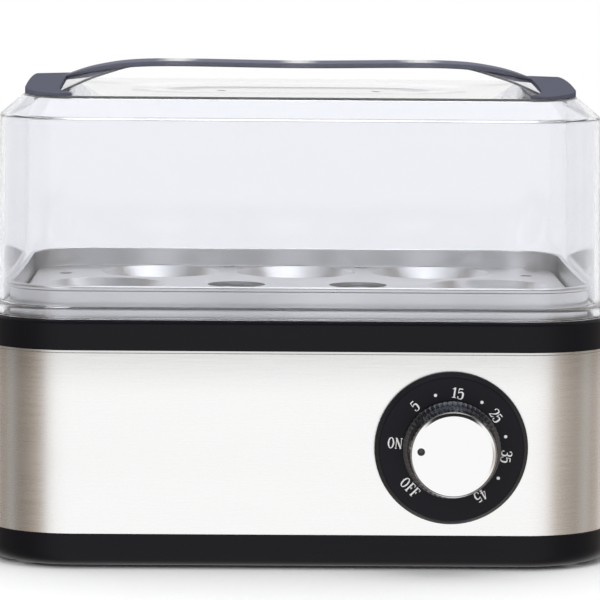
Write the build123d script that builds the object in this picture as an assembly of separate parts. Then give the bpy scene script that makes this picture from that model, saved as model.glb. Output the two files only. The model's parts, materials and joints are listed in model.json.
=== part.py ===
"""Electric egg cooker: black moulded base and rim, stainless band, clear lid, clockwork timer.

Millimetres, +Z up, the dial faces -Y, +X is the viewer's right. The origin is the centre of the
bounding box at the surface the feet stand on. Every outline of the body, the pan, the tray and the
lid is the body's own rounded rectangle, inset by a named amount, so they stay parallel.
"""
from build123d import *
from math import acos, atan2, cos, degrees, pi, radians, sin, sqrt, tan
import os

os.makedirs("parts", exist_ok=True)

# Body outline
body_width = 190.0
body_depth = 140.0
body_corner = 28.0

# Heights of the bands that show from the front
foot_proud = 0.8
base_height = 9.7
band_height = 55.0
rim_height = 8.8
collar_rise = 9.6
lid_height = 65.3
seat_gap = 0.1

# Moulded and sheet thicknesses
base_wall = 2.2
rim_wall = 2.0
band_sheet = 0.6
pan_sheet = 0.8
tray_sheet = 0.8
lid_wall = 2.0

# Fits
slip = 0.2
pan_slip = 0.5
tray_slip = 0.8
lid_slip = 1.0
running = 0.05

# Insets of the outlines from the body's outline
band_inset = 0.6
flange_inset = 1.0
lid_inset = 3.8
lid_draft = 1.0
hem_width = 1.0
shelf_width = 3.2

# Levels worked out from the heights
floor_bottom = foot_proud
floor_top = floor_bottom + base_wall
band_bottom = floor_bottom + base_height
band_top = band_bottom + band_height
rim_top = band_top + rim_height
lid_bottom = rim_top + seat_gap
lid_top = rim_top + lid_height
collar_top = rim_top + collar_rise

# Base moulding
base_edge_radius = 4.5
lip_height = 5.0
vent_count = 5
vent_length = 26.0
vent_width = 2.6
vent_pitch = 7.0
vent_gap = 12.0

# Screws that clamp the base, the band and the rim together
post_radius = 4.0
post_joint = 16.0
screw_radius = 1.7
screw_clear = 0.25
screw_bite = 10.0
head_radius = 3.3
head_height = 2.4
head_recess = 4.0
cross_length = 3.6
cross_width = 0.9
cross_depth = 1.0

# Feet
foot_radius = 6.0
foot_sunk = 1.2
foot_inset = 27.0

# Rim shelf and seal
shelf_drop = 4.3
shelf_height = 2.4
seal_height = 1.0
rim_edge_radius = 1.2

# Pan
pan_depth = 26.9
pan_bottom_radius = 7.0
well_inset_x = 37.0
well_inset_y = 35.0
well_corner = 16.0
well_drop = 2.5

# Heater under the pan
plate_height = 4.0
plate_margin = 3.0
element_radius = 3.25
element_spread = 22.0
element_margin = 2.0
element_clear = 9.0
pin_length = 7.0
pin_radius = 1.2
stud_radius = 2.0
stud_x = 22.0
clamp_width = 12.0
clamp_height = 1.6
clamp_corner = 2.5
nut_flats = 7.0
nut_height = 3.0
stud_proud = 1.5
touch = 0.05

# Thermostat and thermal fuse
thermostat_radius = 8.0
thermostat_height = 7.0
thermostat_ear = 1.2
ear_reach = 14.0
ear_width = 8.0
ear_corner = 2.5
ear_hole_inset = 3.0
ear_screw_reach = 2.5
small_screw_radius = 1.4
small_head_radius = 2.6
small_head_height = 1.6
fuse_radius = 2.0
fuse_length = 12.0
fuse_pin = 2.5
fuse_pin_radius = 0.5
fuse_from_end = 14.0
fuse_y = 8.0
clip_sheet = 0.8
clip_width = 5.0
clip_foot = 6.0
tab_width = 6.3
tab_sheet = 0.8
tab_length = 7.0
tab_spread = 4.5

# Terminal block, gland and leads
block_length = 40.0
block_width = 14.0
block_height = 12.0
block_inset_y = 26.0
block_stand = 2.0
block_post_inset = 4.0
block_chamfer = 2.0
way_pitch = 10.0
gland_inset = 49.0
gland_z = 24.0
gland_bore = 3.4
gland_neck = 6.0
gland_flange = 8.0
gland_proud = 3.0
gland_tail = 6.0
gland_lip = 0.9
gland_clear = 1.0
gland_room = 8.0
lead_radius = 1.3
earth_y = -10.0
earth_drop = 3.0
lead_swing = 24.0
sleeve_radius = 2.2
sleeve_length = 7.0

# Timer
dial_inset = 50.0
dial_z = 37.0
case_width = 44.0
case_height = 37.0
case_depth = 28.0
case_corner = 3.0
case_sheet = 1.0
front_plate = 1.2
bush_radius = 4.5
bush_proud = 1.4
shaft_radius = 3.0
flat_depth = 0.8
timer_screw_spacing = 30.0

# Wheels of the clockwork
wheel_module = 0.8
governor_angle = -35.0
wheel_gap = 1.5
main_teeth = 36
pinion_teeth = 9
wheel_height = 2.0
window_count = 4
window_at = 8.5
window_radius = 3.0
hub_proud = 1.0
pinion_height = 5.0
pressure_angle = 20.0
tooth_thinning = 0.16
arbor_radius = 1.0
escape_teeth = 15
escape_radius = 5.4
escape_tooth = 1.6
escape_lean = 0.08
escape_sheet = 0.8
escape_from_back = 5.0
spring_gap = 2.0
spring_turns = 5.0
spring_inner = 4.2
spring_outer = 13.6
spring_strip = 0.35
spring_height = 5.0
post_pin_radius = 1.2
cam_radius = 7.5
cam_height = 2.4
cam_notch_radius = 2.0
cam_notch_turn = 95.0
leaf_sheet = 0.4
leaf_gap = 0.4
block_margin = 1.5
block_cover = 2.5
button_radius = 1.3
button_inset = 2.0
contact_gap = 0.4
leaf_grip = 7.0
contact_rise = 3.0

# Dial plate and knob
dial_radius = 22.8
dial_thickness = 3.2
dial_bevel = 1.4
dial_edge = 1.2
knob_gap = 0.6
knob_length = 11.4
knob_radius = 14.5
knob_ring = 1.8
knob_side_radius = 13.9
knob_front_radius = 12.9
knob_flutes = 60
flute_depth = 0.35
cap_radius = 12.3
cap_thickness = 1.2
cap_crown = 0.3
pointer_radius = 1.1
pointer_at = 9.6
mark_on = 275.0

# Egg tray
egg_hole_top = 19.0
egg_hole_bottom = 16.0
egg_dish = 3.6
row_inset = 30.0
column_pitch = 43.5
side_inset = 35.0
tray_drop = 5.6
lift_hole_radius = 9.0
lift_hole_x = 19.0
steam_hole_radius = 2.2
steam_from_row = 16.0
steam_from_side = 14.0
steam_before_row = 8.0

# Lid
chamfer_height = 6.0
chamfer_run = 8.0
lid_top_corner = 20.0
flange_height = 3.4
flange_edge = 0.8
dish_length = 96.0
dish_width = 56.0
dish_corner = 20.0
dish_depth = 2.6
dish_slope = 7.0
vent_radius = 1.5
lid_vent_x = 24.0

# Handle: a clear bridge moulded with the lid and a black cover over it
bridge_rise = 7.8
bridge_dip = 0.5
bridge_shoulder_run = 32.0
bridge_knee_run = 18.0
bridge_knee_drop = 0.8
bridge_end_drop = 6.4
bridge_root = 2.0
bridge_root_drop = 1.4
bridge_half = 9.0
bridge_thickness = 1.5
flare_start_run = 20.0
flare_mid_run = 12.0
flare_mid_y = 20.0
flare_end_inset = 3.0
cover_thickness = 1.0
cover_side = 1.0
cover_skirt = 2.2
cover_tip_half = 4.0
cover_bend_radius = 20.0
pad_reach = 23.0
pad_height = 1.8
pad_window_corner = 14.0
pad_window_over = 3.0
peg_radius = 1.5
peg_inset_y = 38.0
peg_run = 5.0
peg_head = 2.4
peg_head_height = 0.8

# Places worked out from the values above
foot_x = body_width / 2 - foot_inset
foot_y = body_depth / 2 - foot_inset
dial_x = body_width / 2 - dial_inset
gland_x = gland_inset - body_width / 2
block_x = gland_x
block_y = body_depth / 2 - block_inset_y
earth_x = gland_x
well_length = body_width - 2 * well_inset_x
well_width = body_depth - 2 * well_inset_y
element_end_x = element_margin - well_length / 2
element_bend_x = well_length / 2 - plate_margin - element_spread - element_clear
fuse_x = element_end_x + fuse_from_end
row_pitch = body_depth / 2 - row_inset
side_column = body_width / 2 - side_inset
pad_inner_x = body_width / 2 - pad_reach
bridge_shoulder_x = pad_inner_x - bridge_shoulder_run
bridge_knee_x = pad_inner_x - bridge_knee_run
flare_start_x = pad_inner_x - flare_start_run
flare_mid_x = pad_inner_x - flare_mid_run
peg_x = pad_inner_x + peg_run
peg_y = body_depth / 2 - peg_inset_y
front_face = -(body_depth / 2 - band_inset)
band_inner_inset = band_inset + band_sheet
hem_inset = lid_inset + lid_wall + lid_slip
collar_inset = hem_inset + hem_width
pan_inset = collar_inset + shelf_width
shelf_inset = pan_inset - pan_slip
tray_inset = collar_inset + pan_sheet + tray_slip
shelf_level = rim_top - shelf_drop
step_bottom = shelf_level + seal_height
step_top = step_bottom + pan_sheet
tray_top = collar_top - tray_drop
pan_bottom = collar_top - pan_depth
well_bottom = pan_bottom - well_drop
plate_bottom = well_bottom - plate_height
element_z = plate_bottom - element_radius - touch
post_x = body_width / 2 - body_corner + (body_corner - (band_inner_inset + pan_inset) / 2) / sqrt(2)
post_y = body_depth / 2 - body_corner + (body_corner - (band_inner_inset + pan_inset) / 2) / sqrt(2)
knob_back = front_face - dial_thickness - knob_gap
knob_front = knob_back - knob_length
gland_back = body_depth / 2 - band_inset + gland_proud
case_front = -(body_depth / 2 - band_inner_inset)
case_back = case_front + front_plate + case_depth
lid_peak = lid_top + bridge_rise + cover_thickness
chamfer_level = lid_top - chamfer_height
top_inset = lid_inset + lid_draft + chamfer_run

# The box's centre along Y lies between the knob's face and the gland's back
centre_shift = -(knob_front - cap_crown + gland_back) / 2


def save(name, shape):
    """Write one sub-part, moved so that the box's centre is over the origin."""
    export_step(Pos(0, centre_shift, 0) * shape, f"parts/{name}.step")


def outline(inset, corner=None):
    """The body's outline, moved inwards by inset."""
    radius = body_corner - inset if corner is None else corner
    return RectangleRounded(body_width - 2 * inset, body_depth - 2 * inset, radius)


def slab(inset, low, high, corner=None):
    return extrude(Pos(0, 0, low) * outline(inset, corner), high - low)


def ring(outer, inner, low, high):
    return slab(outer, low, high) - slab(inner, low - 1, high + 1)


def taper(low, high, low_inset, high_inset, low_corner=None, high_corner=None):
    """A rounded block whose outline changes steadily from low to high."""
    bottom = Pos(0, 0, low) * outline(low_inset, low_corner)
    top = Pos(0, 0, high) * outline(high_inset, high_corner)
    return loft([bottom, top], ruled=True)


def upright(x, y, low, high, radius):
    return Pos(x, y, low) * Cylinder(radius, high - low, align=(Align.CENTER, Align.CENTER, Align.MIN))


def along_y(x, z, start, end, radius):
    """A round bar along Y from start to end."""
    bar = Cylinder(radius, abs(end - start))
    return Pos(x, (start + end) / 2, z) * Rot(90, 0, 0) * bar


def along_x(y, z, start, end, radius):
    bar = Cylinder(radius, abs(end - start))
    return Pos((start + end) / 2, y, z) * Rot(0, 90, 0) * bar


def block(x, y, z, size_x, size_y, size_z):
    """A box given by its low corner and its size."""
    return Pos(x, y, z) * Box(size_x, size_y, size_z, align=(Align.MIN, Align.MIN, Align.MIN))


def edges_at(shape, level):
    """The edges that lie flat at one height."""
    return [e for e in shape.edges()
            if abs(e.bounding_box().min.Z - level) < 1e-4 and abs(e.bounding_box().max.Z - level) < 1e-4]


def corners(x, y):
    return [(x, y), (-x, y), (x, -y), (-x, -y)]


def base_housing():
    shell = slab(0, floor_bottom, band_bottom)
    shell = fillet(edges_at(shell, floor_bottom), base_edge_radius)
    cavity = slab(base_wall, floor_top, band_bottom + 1)
    cavity = fillet(edges_at(cavity, floor_top), base_edge_radius - base_wall)
    shell -= cavity
    lip_inset = band_inner_inset + slip
    shell += ring(lip_inset, lip_inset + base_wall, band_bottom - base_wall, band_bottom + lip_height)
    shell += ring(base_wall - 1, lip_inset + base_wall, band_bottom - base_wall, band_bottom)
    gap = gland_neck + gland_clear
    shell -= block(gland_x - gap, body_depth / 2 - gland_room, band_bottom + seat_gap, 2 * gap, gland_room, lip_height)
    for x, y in corners(post_x, post_y):
        shell += upright(x, y, floor_bottom + 1, post_joint, post_radius)
        shell -= upright(x, y, floor_bottom - 1, post_joint + 1, screw_radius + screw_clear)
        shell -= upright(x, y, floor_bottom - 1, floor_bottom + head_recess, head_radius + screw_clear)
    for x, y in corners(foot_x, foot_y):
        shell += upright(x, y, floor_bottom + 1, floor_top + foot_sunk, foot_radius + base_wall)
        shell -= upright(x, y, floor_bottom - 1, floor_bottom + foot_sunk, foot_radius + slip)
    for side in (-1, 1):
        for i in range(vent_count):
            x = side * (vent_length + vent_gap) / 2
            y = (i - (vent_count - 1) / 2) * vent_pitch
            slot = Pos(x, y, floor_bottom - 1) * SlotOverall(vent_length, vent_width)
            shell -= extrude(slot, base_wall + 2)
    for x in block_posts():
        shell += upright(x, block_y, floor_top - 0.5, floor_top + block_stand, post_radius - 1)
        shell -= upright(x, block_y, floor_top, floor_top + block_stand + 1, small_screw_radius + touch)
    return shell


def block_posts():
    reach = block_length / 2 - block_post_inset
    return [block_x - reach, block_x + reach]


def foot():
    rubber = upright(0, 0, 0, foot_proud + foot_sunk, foot_radius)
    return chamfer(edges_at(rubber, 0), foot_proud * 0.6)


def base_screws():
    head_seat = floor_bottom + head_recess
    screws = []
    for x, y in corners(post_x, post_y):
        screw = upright(x, y, head_seat - head_height, head_seat, head_radius)
        screw = fillet(edges_at(screw, head_seat - head_height), 0.9)
        screw += upright(x, y, head_seat - 0.1, post_joint + screw_bite, screw_radius)
        for long, wide in ((cross_length, cross_width), (cross_width, cross_length)):
            low = head_seat - head_height - 1
            screw -= block(x - long / 2, y - wide / 2, low, long, wide, cross_depth + 1)
        screws.append(screw)
    return Compound(screws)


def steel_wrap():
    wrap = ring(band_inset, band_inner_inset, band_bottom, band_top)
    wrap -= along_y(dial_x, dial_z, front_face - 5, front_face + 5, bush_radius + slip)
    for x in timer_screw_places():
        wrap -= along_y(x, dial_z, front_face - 5, front_face + 5, screw_radius + screw_clear)
    back = body_depth / 2
    wrap -= along_y(gland_x, gland_z, back - 5, back + 5, gland_neck + slip)
    return wrap


def timer_screw_places():
    return [dial_x - timer_screw_spacing / 2, dial_x + timer_screw_spacing / 2]


def upper_rim():
    outer_edge = slab(0, band_top, rim_top)
    outer_edge = fillet(edges_at(outer_edge, rim_top), rim_edge_radius)
    rim = outer_edge - slab(collar_inset - slip, shelf_level, rim_top + 1)
    rim -= slab(shelf_inset, band_top - 1, rim_top)
    hollow = ring(rim_wall, shelf_inset - rim_wall, band_top - 1, shelf_level - shelf_height)
    rim -= hollow
    skirt_inset = band_inner_inset + slip
    rim += ring(skirt_inset, skirt_inset + rim_wall, band_top - lip_height, shelf_level - shelf_height)
    for x, y in corners(post_x, post_y):
        rim += upright(x, y, post_joint + seat_gap, shelf_level - shelf_height + 1, post_radius)
        rim -= upright(x, y, post_joint - 1, post_joint + screw_bite + 3, screw_radius + touch)
    return rim


def rim_seal():
    seal = ring(collar_inset, shelf_inset + slip, shelf_level, step_bottom)
    return seal


def water_pan():
    hem = slab(hem_inset, collar_top - 1.6, collar_top)
    hem = fillet(edges_at(hem, collar_top) + edges_at(hem, collar_top - 1.6), 0.7)
    pan = hem + slab(collar_inset, step_bottom, collar_top - 0.4)
    lower = slab(pan_inset, pan_bottom, step_top)
    lower = fillet(edges_at(lower, pan_bottom), pan_bottom_radius)
    pan += lower
    well = extrude(Pos(0, 0, well_bottom) * RectangleRounded(well_length, well_width, well_corner), well_drop + 1)
    pan += fillet(edges_at(well, well_bottom), 1.2)
    inside = slab(collar_inset + pan_sheet, step_top, collar_top + 1)
    bowl = slab(pan_inset + pan_sheet, pan_bottom + pan_sheet, step_top + 1)
    inside += fillet(edges_at(bowl, pan_bottom + pan_sheet), pan_bottom_radius - pan_sheet)
    inner_well = RectangleRounded(well_length - 2 * pan_sheet, well_width - 2 * pan_sheet, well_corner - pan_sheet)
    inside += extrude(Pos(0, 0, well_bottom + pan_sheet) * inner_well, well_drop + 1)
    return pan - inside


def heater_plate():
    length = well_length - 2 * plate_margin
    width = well_width - 2 * plate_margin
    plate = Pos(0, 0, plate_bottom) * RectangleRounded(length, width, well_corner - plate_margin)
    plate = extrude(plate, plate_height)
    for x in (-stud_x, stud_x):
        plate += upright(x, 0, stud_bottom(), plate_bottom + 1, stud_radius)
    for y in ear_holes():
        plate -= upright(0, y, plate_bottom - 1, plate_bottom + 3, small_screw_radius + touch)
    return plate


def ear_holes():
    return [ear_hole_inset - ear_reach, ear_reach - ear_hole_inset]


def clamp_top():
    return element_z - element_radius - touch


def stud_bottom():
    return clamp_top() - clamp_height - nut_height - stud_proud


def heating_element():
    start = Vector(element_end_x, -element_spread, element_z)
    turn = Vector(element_bend_x, -element_spread, element_z)
    far = Vector(element_bend_x + element_spread, 0, element_z)
    back = Vector(element_bend_x, element_spread, element_z)
    finish = Vector(element_end_x, element_spread, element_z)
    path = Line(start, turn) + ThreePointArc(turn, far, back) + Line(back, finish)
    section = Plane(origin=start, z_dir=(1, 0, 0)) * Circle(element_radius)
    tube = sweep(section, path=path)
    for y in (-element_spread, element_spread):
        tube += along_x(y, element_z, element_end_x - pin_length, element_end_x + 1, pin_radius)
    return tube


def element_clamps():
    clamps = []
    for x in (-stud_x, stud_x):
        reach = element_spread + element_radius
        bar = block(x - clamp_width / 2, -reach, clamp_top() - clamp_height, clamp_width, 2 * reach, clamp_height)
        bar = fillet(bar.edges().filter_by(Axis.Z), clamp_corner)
        clamps.append(bar - upright(x, 0, clamp_top() - 5, clamp_top() + 5, stud_radius + slip))
    return Compound(clamps)


def clamp_nuts():
    nuts = []
    for x in (-stud_x, stud_x):
        hexagon = RegularPolygon(nut_flats / 2, 6, major_radius=False)
        nut = extrude(Pos(x, 0, clamp_top() - clamp_height - nut_height) * hexagon, nut_height)
        nuts.append(nut - upright(x, 0, stud_bottom() - 1, clamp_top(), stud_radius + touch))
    return Compound(nuts)


def thermostat():
    ear = block(-ear_width / 2, -ear_reach, plate_bottom - thermostat_ear, ear_width, 2 * ear_reach, thermostat_ear)
    ear = fillet(ear.edges().filter_by(Axis.Z), ear_corner)
    bottom = plate_bottom - thermostat_height
    body = ear + upright(0, 0, bottom, plate_bottom, thermostat_radius)
    for y in ear_holes():
        body -= upright(0, y, plate_bottom - 5, plate_bottom + 1, small_screw_radius + slip)
    for y in (-tab_spread, tab_spread):
        body += block(-tab_width / 2, y - tab_sheet / 2, bottom - tab_length, tab_width, tab_sheet, tab_length + 0.5)
    return body


def thermostat_screws():
    seat = plate_bottom - thermostat_ear
    screws = []
    for y in ear_holes():
        head = upright(0, y, seat - small_head_height, seat, small_head_radius)
        head = fillet(edges_at(head, seat - small_head_height), 0.6)
        screws.append(head + upright(0, y, seat - 0.1, plate_bottom + ear_screw_reach, small_screw_radius))
    return Compound(screws)


def thermal_fuse():
    half = fuse_length / 2
    fuse = along_x(fuse_y, fuse_level(), fuse_x - half, fuse_x + half, fuse_radius)
    return fuse + along_x(fuse_y, fuse_level(), fuse_x - half - fuse_pin, fuse_x + half + fuse_pin, fuse_pin_radius)


def fuse_level():
    return plate_bottom - sleeve_radius - touch


def fuse_clip():
    """A strip bent under the fuse, with one foot flat on the plate."""
    z = fuse_level()
    outer = fuse_radius + clip_sheet + touch
    inner = fuse_radius + touch
    x = fuse_x - clip_width / 2
    clip = along_x(fuse_y, z, x, x + clip_width, outer)
    clip += block(x, fuse_y - outer, z, clip_width, 2 * outer, plate_bottom - z)
    clip += block(x, fuse_y - outer - clip_foot, plate_bottom - clip_sheet, clip_width, clip_foot + 1, clip_sheet)
    clip -= along_x(fuse_y, z, x - 1, x + clip_width + 1, inner)
    return clip - block(x - 1, fuse_y - inner, z, clip_width + 2, 2 * inner, plate_bottom - z + 1)


def way_places():
    return [block_x + i * way_pitch for i in (-1, 0, 1)]


def block_floor():
    return floor_top + block_stand


def terminal_block():
    x = block_x - block_length / 2
    body = block(x, block_y - block_width / 2, block_floor(), block_length, block_width, block_height)
    body = chamfer(body.edges().filter_by(Axis.X).group_by(Axis.Z)[-1], block_chamfer)
    for way in way_places():
        body -= along_y(way, lead_level(), block_y - block_width, block_y - 1, sleeve_radius + touch)
        body -= along_y(way, lead_level(), block_y + 1, block_y + block_width, sleeve_radius + touch)
    for post in block_posts():
        body -= upright(post, block_y, block_floor() - 1, block_floor() + block_height + 1, small_screw_radius + slip)
    return body


def lead_level():
    return block_floor() + block_height / 2


def block_screws():
    seat = block_floor() + block_height
    screws = []
    for x in block_posts():
        head = upright(x, block_y, seat, seat + small_head_height, small_head_radius)
        screws.append(head + upright(x, block_y, floor_top + 0.3, seat + 0.1, small_screw_radius))
    return Compound(screws)


def cord_gland():
    back = body_depth / 2 - band_inset
    inner = back - band_sheet
    gland = along_y(gland_x, gland_z, inner - gland_tail, back + 1, gland_neck)
    flange = along_y(gland_x, gland_z, back, back + gland_proud, gland_flange)
    rim_edges = [e for e in flange.edges() if abs(e.center().Y - back - gland_proud) < 1e-3]
    gland += fillet(rim_edges, 1.2)
    gland += along_y(gland_x, gland_z, inner - gland_tail, inner - seat_gap, gland_neck + gland_lip)
    return gland - along_y(gland_x, gland_z, inner - 2 * gland_tail, back + 2 * gland_proud, gland_bore)


def earth_screw():
    """Fastens the earth lead to the underside of the heater plate."""
    head = upright(earth_x, earth_y, earth_level(), earth_level() + small_head_height, small_head_radius)
    return head + upright(earth_x, earth_y, earth_level() + 0.1, plate_bottom, small_screw_radius)


def earth_level():
    return plate_bottom - earth_drop


def tab_bottom():
    return plate_bottom - thermostat_height - tab_length


def leads():
    """The six insulated leads: their names and the points of their routes."""
    block_face = block_y - 1 - touch
    timer_tab = dial_x - case_width / 2 - tab_length
    near = timer_tab - lead_swing
    low, high = contact_levels()
    live, neutral, earth = way_places()
    pin_end = element_end_x - pin_length
    fuse_left = fuse_x - fuse_length / 2 - fuse_pin
    fuse_right = fuse_x + fuse_length / 2 + fuse_pin
    turn_x = -(thermostat_radius + stud_x - clamp_width / 2) / 2
    return {
        "lead_live": [(live, block_face, lead_level()), (live, 18, lead_level()), (-44, -22, 8),
                      (-22, -52, 14), (near, contact_y(), low), (timer_tab, contact_y(), low)],
        "lead_switched": [(0, -tab_spread, tab_bottom()), (0, -tab_spread, 22), (-14, -30, 20),
                          (near - 2, contact_y(), high), (timer_tab, contact_y(), high)],
        "lead_fused": [(0, tab_spread, tab_bottom()), (0, tab_spread, 24), (turn_x, fuse_y, 22),
                       (turn_x, fuse_y, fuse_level()), (fuse_right, fuse_y, fuse_level())],
        "lead_element": [(fuse_left, fuse_y, fuse_level()), (-68, fuse_y, 47), (-80, -7, 44),
                         (-77, -element_spread, element_z), (pin_end, -element_spread, element_z)],
        "lead_neutral": [(neutral, block_face, lead_level()), (neutral, 30, lead_level()), (-60, 18, 20),
                         (-80, 12, 36), (-78, element_spread, element_z), (pin_end, element_spread, element_z)],
        "lead_earth": [(earth, block_face, lead_level()), (earth, 22, lead_level()), (-40, 0, 14),
                       (earth_x, earth_y, 24), (earth_x, earth_y, earth_level())],
    }


def unit(vector):
    return vector / vector.length


def bend_radii(points):
    """The largest radius that each corner's two runs allow, at 0.45 of the shorter run."""
    radii = []
    for a, b, c in zip(points, points[1:], points[2:]):
        run = min((b - a).length, (c - b).length)
        turn = radians((b - a).get_angle(c - b))
        radii.append(0.45 * run / tan(turn / 2))
    return radii


def lead(name, places):
    """An insulated lead along straight runs joined by arcs, with a crimped sleeve at each end."""
    points = [Vector(*p) for p in places]
    radii = bend_radii(points)
    print(name, "bend radii", [round(r, 1) for r in radii])
    path = FilletPolyline(*points, radius=radii)
    section = Plane(origin=points[0], z_dir=unit(points[1] - points[0])) * Circle(lead_radius)
    wire = sweep(section, path=path)
    ends = [(points[0], unit(points[1] - points[0])), (points[-1], unit(points[-2] - points[-1]))]
    for place, direction in ends:
        wire += extrude(Plane(origin=place, z_dir=direction) * Circle(sleeve_radius), sleeve_length)
    return wire


def timer_plate():
    """The clockwork's front plate, with the bush that guides the shaft through the band."""
    x = dial_x - case_width / 2
    z = dial_z - case_height / 2
    plate = block(x, case_front, z, case_width, front_plate, case_height)
    plate = fillet(plate.edges().filter_by(Axis.Y), case_corner)
    plate += along_y(dial_x, dial_z, case_front + 1, front_face - bush_proud, bush_radius)
    plate -= along_y(dial_x, dial_z, case_front + 10, front_face - 10, shaft_radius + running)
    for x in timer_screw_places():
        plate -= along_y(x, dial_z, case_front - 1, case_front + 3, screw_radius + touch)
    return plate - along_y(*governor_place(), case_front + 0.4, case_front + 3, arbor_radius + running)


def governor_place():
    """The governor's axis, one centre distance from the shaft."""
    reach = wheel_module * (main_teeth + pinion_teeth) / 2
    angle = radians(governor_angle)
    return dial_x + reach * cos(angle), dial_z + reach * sin(angle)


def timer_case():
    x = dial_x - case_width / 2
    z = dial_z - case_height / 2
    front = case_front + front_plate
    can = block(x, front, z, case_width, case_depth, case_height)
    can = fillet(can.edges().filter_by(Axis.Y), case_corner)
    inside = block(x + case_sheet, front - 1, z + case_sheet, case_width - 2 * case_sheet,
                   case_depth + 1 - case_sheet, case_height - 2 * case_sheet)
    can -= fillet(inside.edges().filter_by(Axis.Y), case_corner - case_sheet)
    can += along_y(dial_x, dial_z, case_back - 4, case_back - 0.2, shaft_radius + 1.5)
    can -= along_y(dial_x, dial_z, case_back - 5, case_back - 1, shaft_radius + running)
    can += along_y(*governor_place(), case_back - 3, case_back - 0.2, arbor_radius + 1.2)
    can -= along_y(*governor_place(), case_back - 4, case_back - 0.6, arbor_radius + running)
    can += along_y(*spring_post(), spring_y(), case_back - 0.2, post_pin_radius)
    for z_tab in contact_levels():
        low = z_tab - leaf_sheet / 2 - slip
        can -= block(x - 1, contact_y() - tab_width / 2 - slip, low, 3, tab_width + 2 * slip, leaf_sheet + 2 * slip)
    return can


def spring_y():
    return wheel_y() + wheel_height + spring_gap


def spring_post():
    """The post in the case that the mainspring's outer end hooks on."""
    return dial_x + spring_outer + spring_strip + slip + post_pin_radius, dial_z


def contact_levels():
    return [dial_z - contact_rise, dial_z + contact_rise]


def contact_y():
    return case_front + front_plate + tab_width / 2 + block_margin + slip


def timer_screws():
    screws = []
    for x in timer_screw_places():
        seat = front_face
        screw = along_y(x, dial_z, seat - 1.4, seat, screw_radius + 1.1)
        screws.append(screw + along_y(x, dial_z, seat - 0.1, case_front + front_plate, screw_radius))
    return Compound(screws)


def involute_point(base, radius, turn):
    """A point of an involute at one radius, its start turned by turn."""
    angle = acos(min(1.0, base / radius))
    roll = tan(angle) - angle
    return (radius * cos(turn + roll), radius * sin(turn + roll))


def gear_outline(teeth, add, drop):
    """The closed outline of a spur gear, with flanks of three points each."""
    pitch_radius = wheel_module * teeth / 2
    base = pitch_radius * cos(radians(pressure_angle))
    tip = pitch_radius + add * wheel_module
    root = pitch_radius - drop * wheel_module
    angle = radians(pressure_angle)
    half_tooth = pi / 2 / teeth - tooth_thinning / 2 / pitch_radius
    start = half_tooth + tan(angle) - angle
    flank = [max(base, root + 0.05), pitch_radius, tip]
    points = []
    for i in range(teeth):
        middle = 2 * pi * i / teeth
        rise = []
        for radius in flank:
            x, y = involute_point(base, radius, 0)
            away = start - atan2(y, x)
            rise.append((radius, away))
        points.append((root, middle - rise[0][1]))
        points += [(r, middle - a) for r, a in rise]
        points += [(r, middle + a) for r, a in reversed(rise)]
        points.append((root, middle + rise[0][1]))
    return Polyline(*[(r * cos(a), r * sin(a)) for r, a in points], close=True)


def disc_y(outline_face, x, z, start, height, spin=0.0):
    """Stand a face drawn in X and Z upright, and thicken it along +Y from start."""
    plane = Plane(origin=(x, start, z), x_dir=(cos(radians(spin)), 0, sin(radians(spin))), z_dir=(0, 1, 0))
    return extrude(plane * outline_face, height)


def wheel_y():
    return contact_y() + tab_width / 2 + block_margin + wheel_gap


def main_wheel():
    face = make_face(gear_outline(main_teeth, 0.8, 1.1))
    wheel = disc_y(face, dial_x, dial_z, wheel_y(), wheel_height, governor_angle)
    for i in range(window_count):
        angle = 2 * pi * (i + 0.5) / window_count
        x = dial_x + window_at * cos(angle)
        z = dial_z + window_at * sin(angle)
        wheel -= along_y(x, z, wheel_y() - 1, wheel_y() + wheel_height + 1, window_radius)
    wheel += along_y(dial_x, dial_z, wheel_y() - hub_proud, wheel_y() + wheel_height + hub_proud, shaft_radius + 2)
    bore_ends = (wheel_y() - 2 * hub_proud, wheel_y() + wheel_height + 2 * hub_proud)
    return wheel - along_y(dial_x, dial_z, *bore_ends, shaft_radius)


def governor():
    """A pinion and an escape wheel on one thin arbor."""
    face = make_face(gear_outline(pinion_teeth, 0.7, 1.1))
    middle = wheel_y() + wheel_height / 2
    half_pitch = 180.0 / pinion_teeth if pinion_teeth % 2 == 0 else 0.0
    start = middle - pinion_height / 2
    pinion = disc_y(face, *governor_place(), start, pinion_height, governor_angle + half_pitch)
    pinion += along_y(*governor_place(), case_front + 0.6, case_back - 0.8, arbor_radius)
    root = escape_radius - escape_tooth
    points = []
    for i in range(escape_teeth):
        tip_angle = 2 * pi * i / escape_teeth
        root_angle = tip_angle + escape_lean
        points.append((escape_radius * cos(tip_angle), escape_radius * sin(tip_angle)))
        points.append((root * cos(root_angle), root * sin(root_angle)))
    escape = disc_y(make_face(Polyline(*points, close=True)), *governor_place(), case_back - escape_from_back, escape_sheet)
    return pinion + escape


def mainspring():
    """A flat spiral strip round the shaft, with its outer end at the case's post."""
    steps = int(14 * spring_turns)
    growth = (spring_outer - spring_inner) / spring_turns
    outer = []
    inner = []
    for i in range(steps + 1):
        turn = spring_turns * i / steps
        radius = spring_inner + growth * turn
        angle = 2 * pi * turn
        outer.append(((radius + spring_strip) * cos(angle), (radius + spring_strip) * sin(angle)))
        inner.append((radius * cos(angle), radius * sin(angle)))
    face = make_face(Polyline(*outer, *reversed(inner), close=True))
    return disc_y(face, dial_x, dial_z, spring_y(), spring_height)


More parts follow.
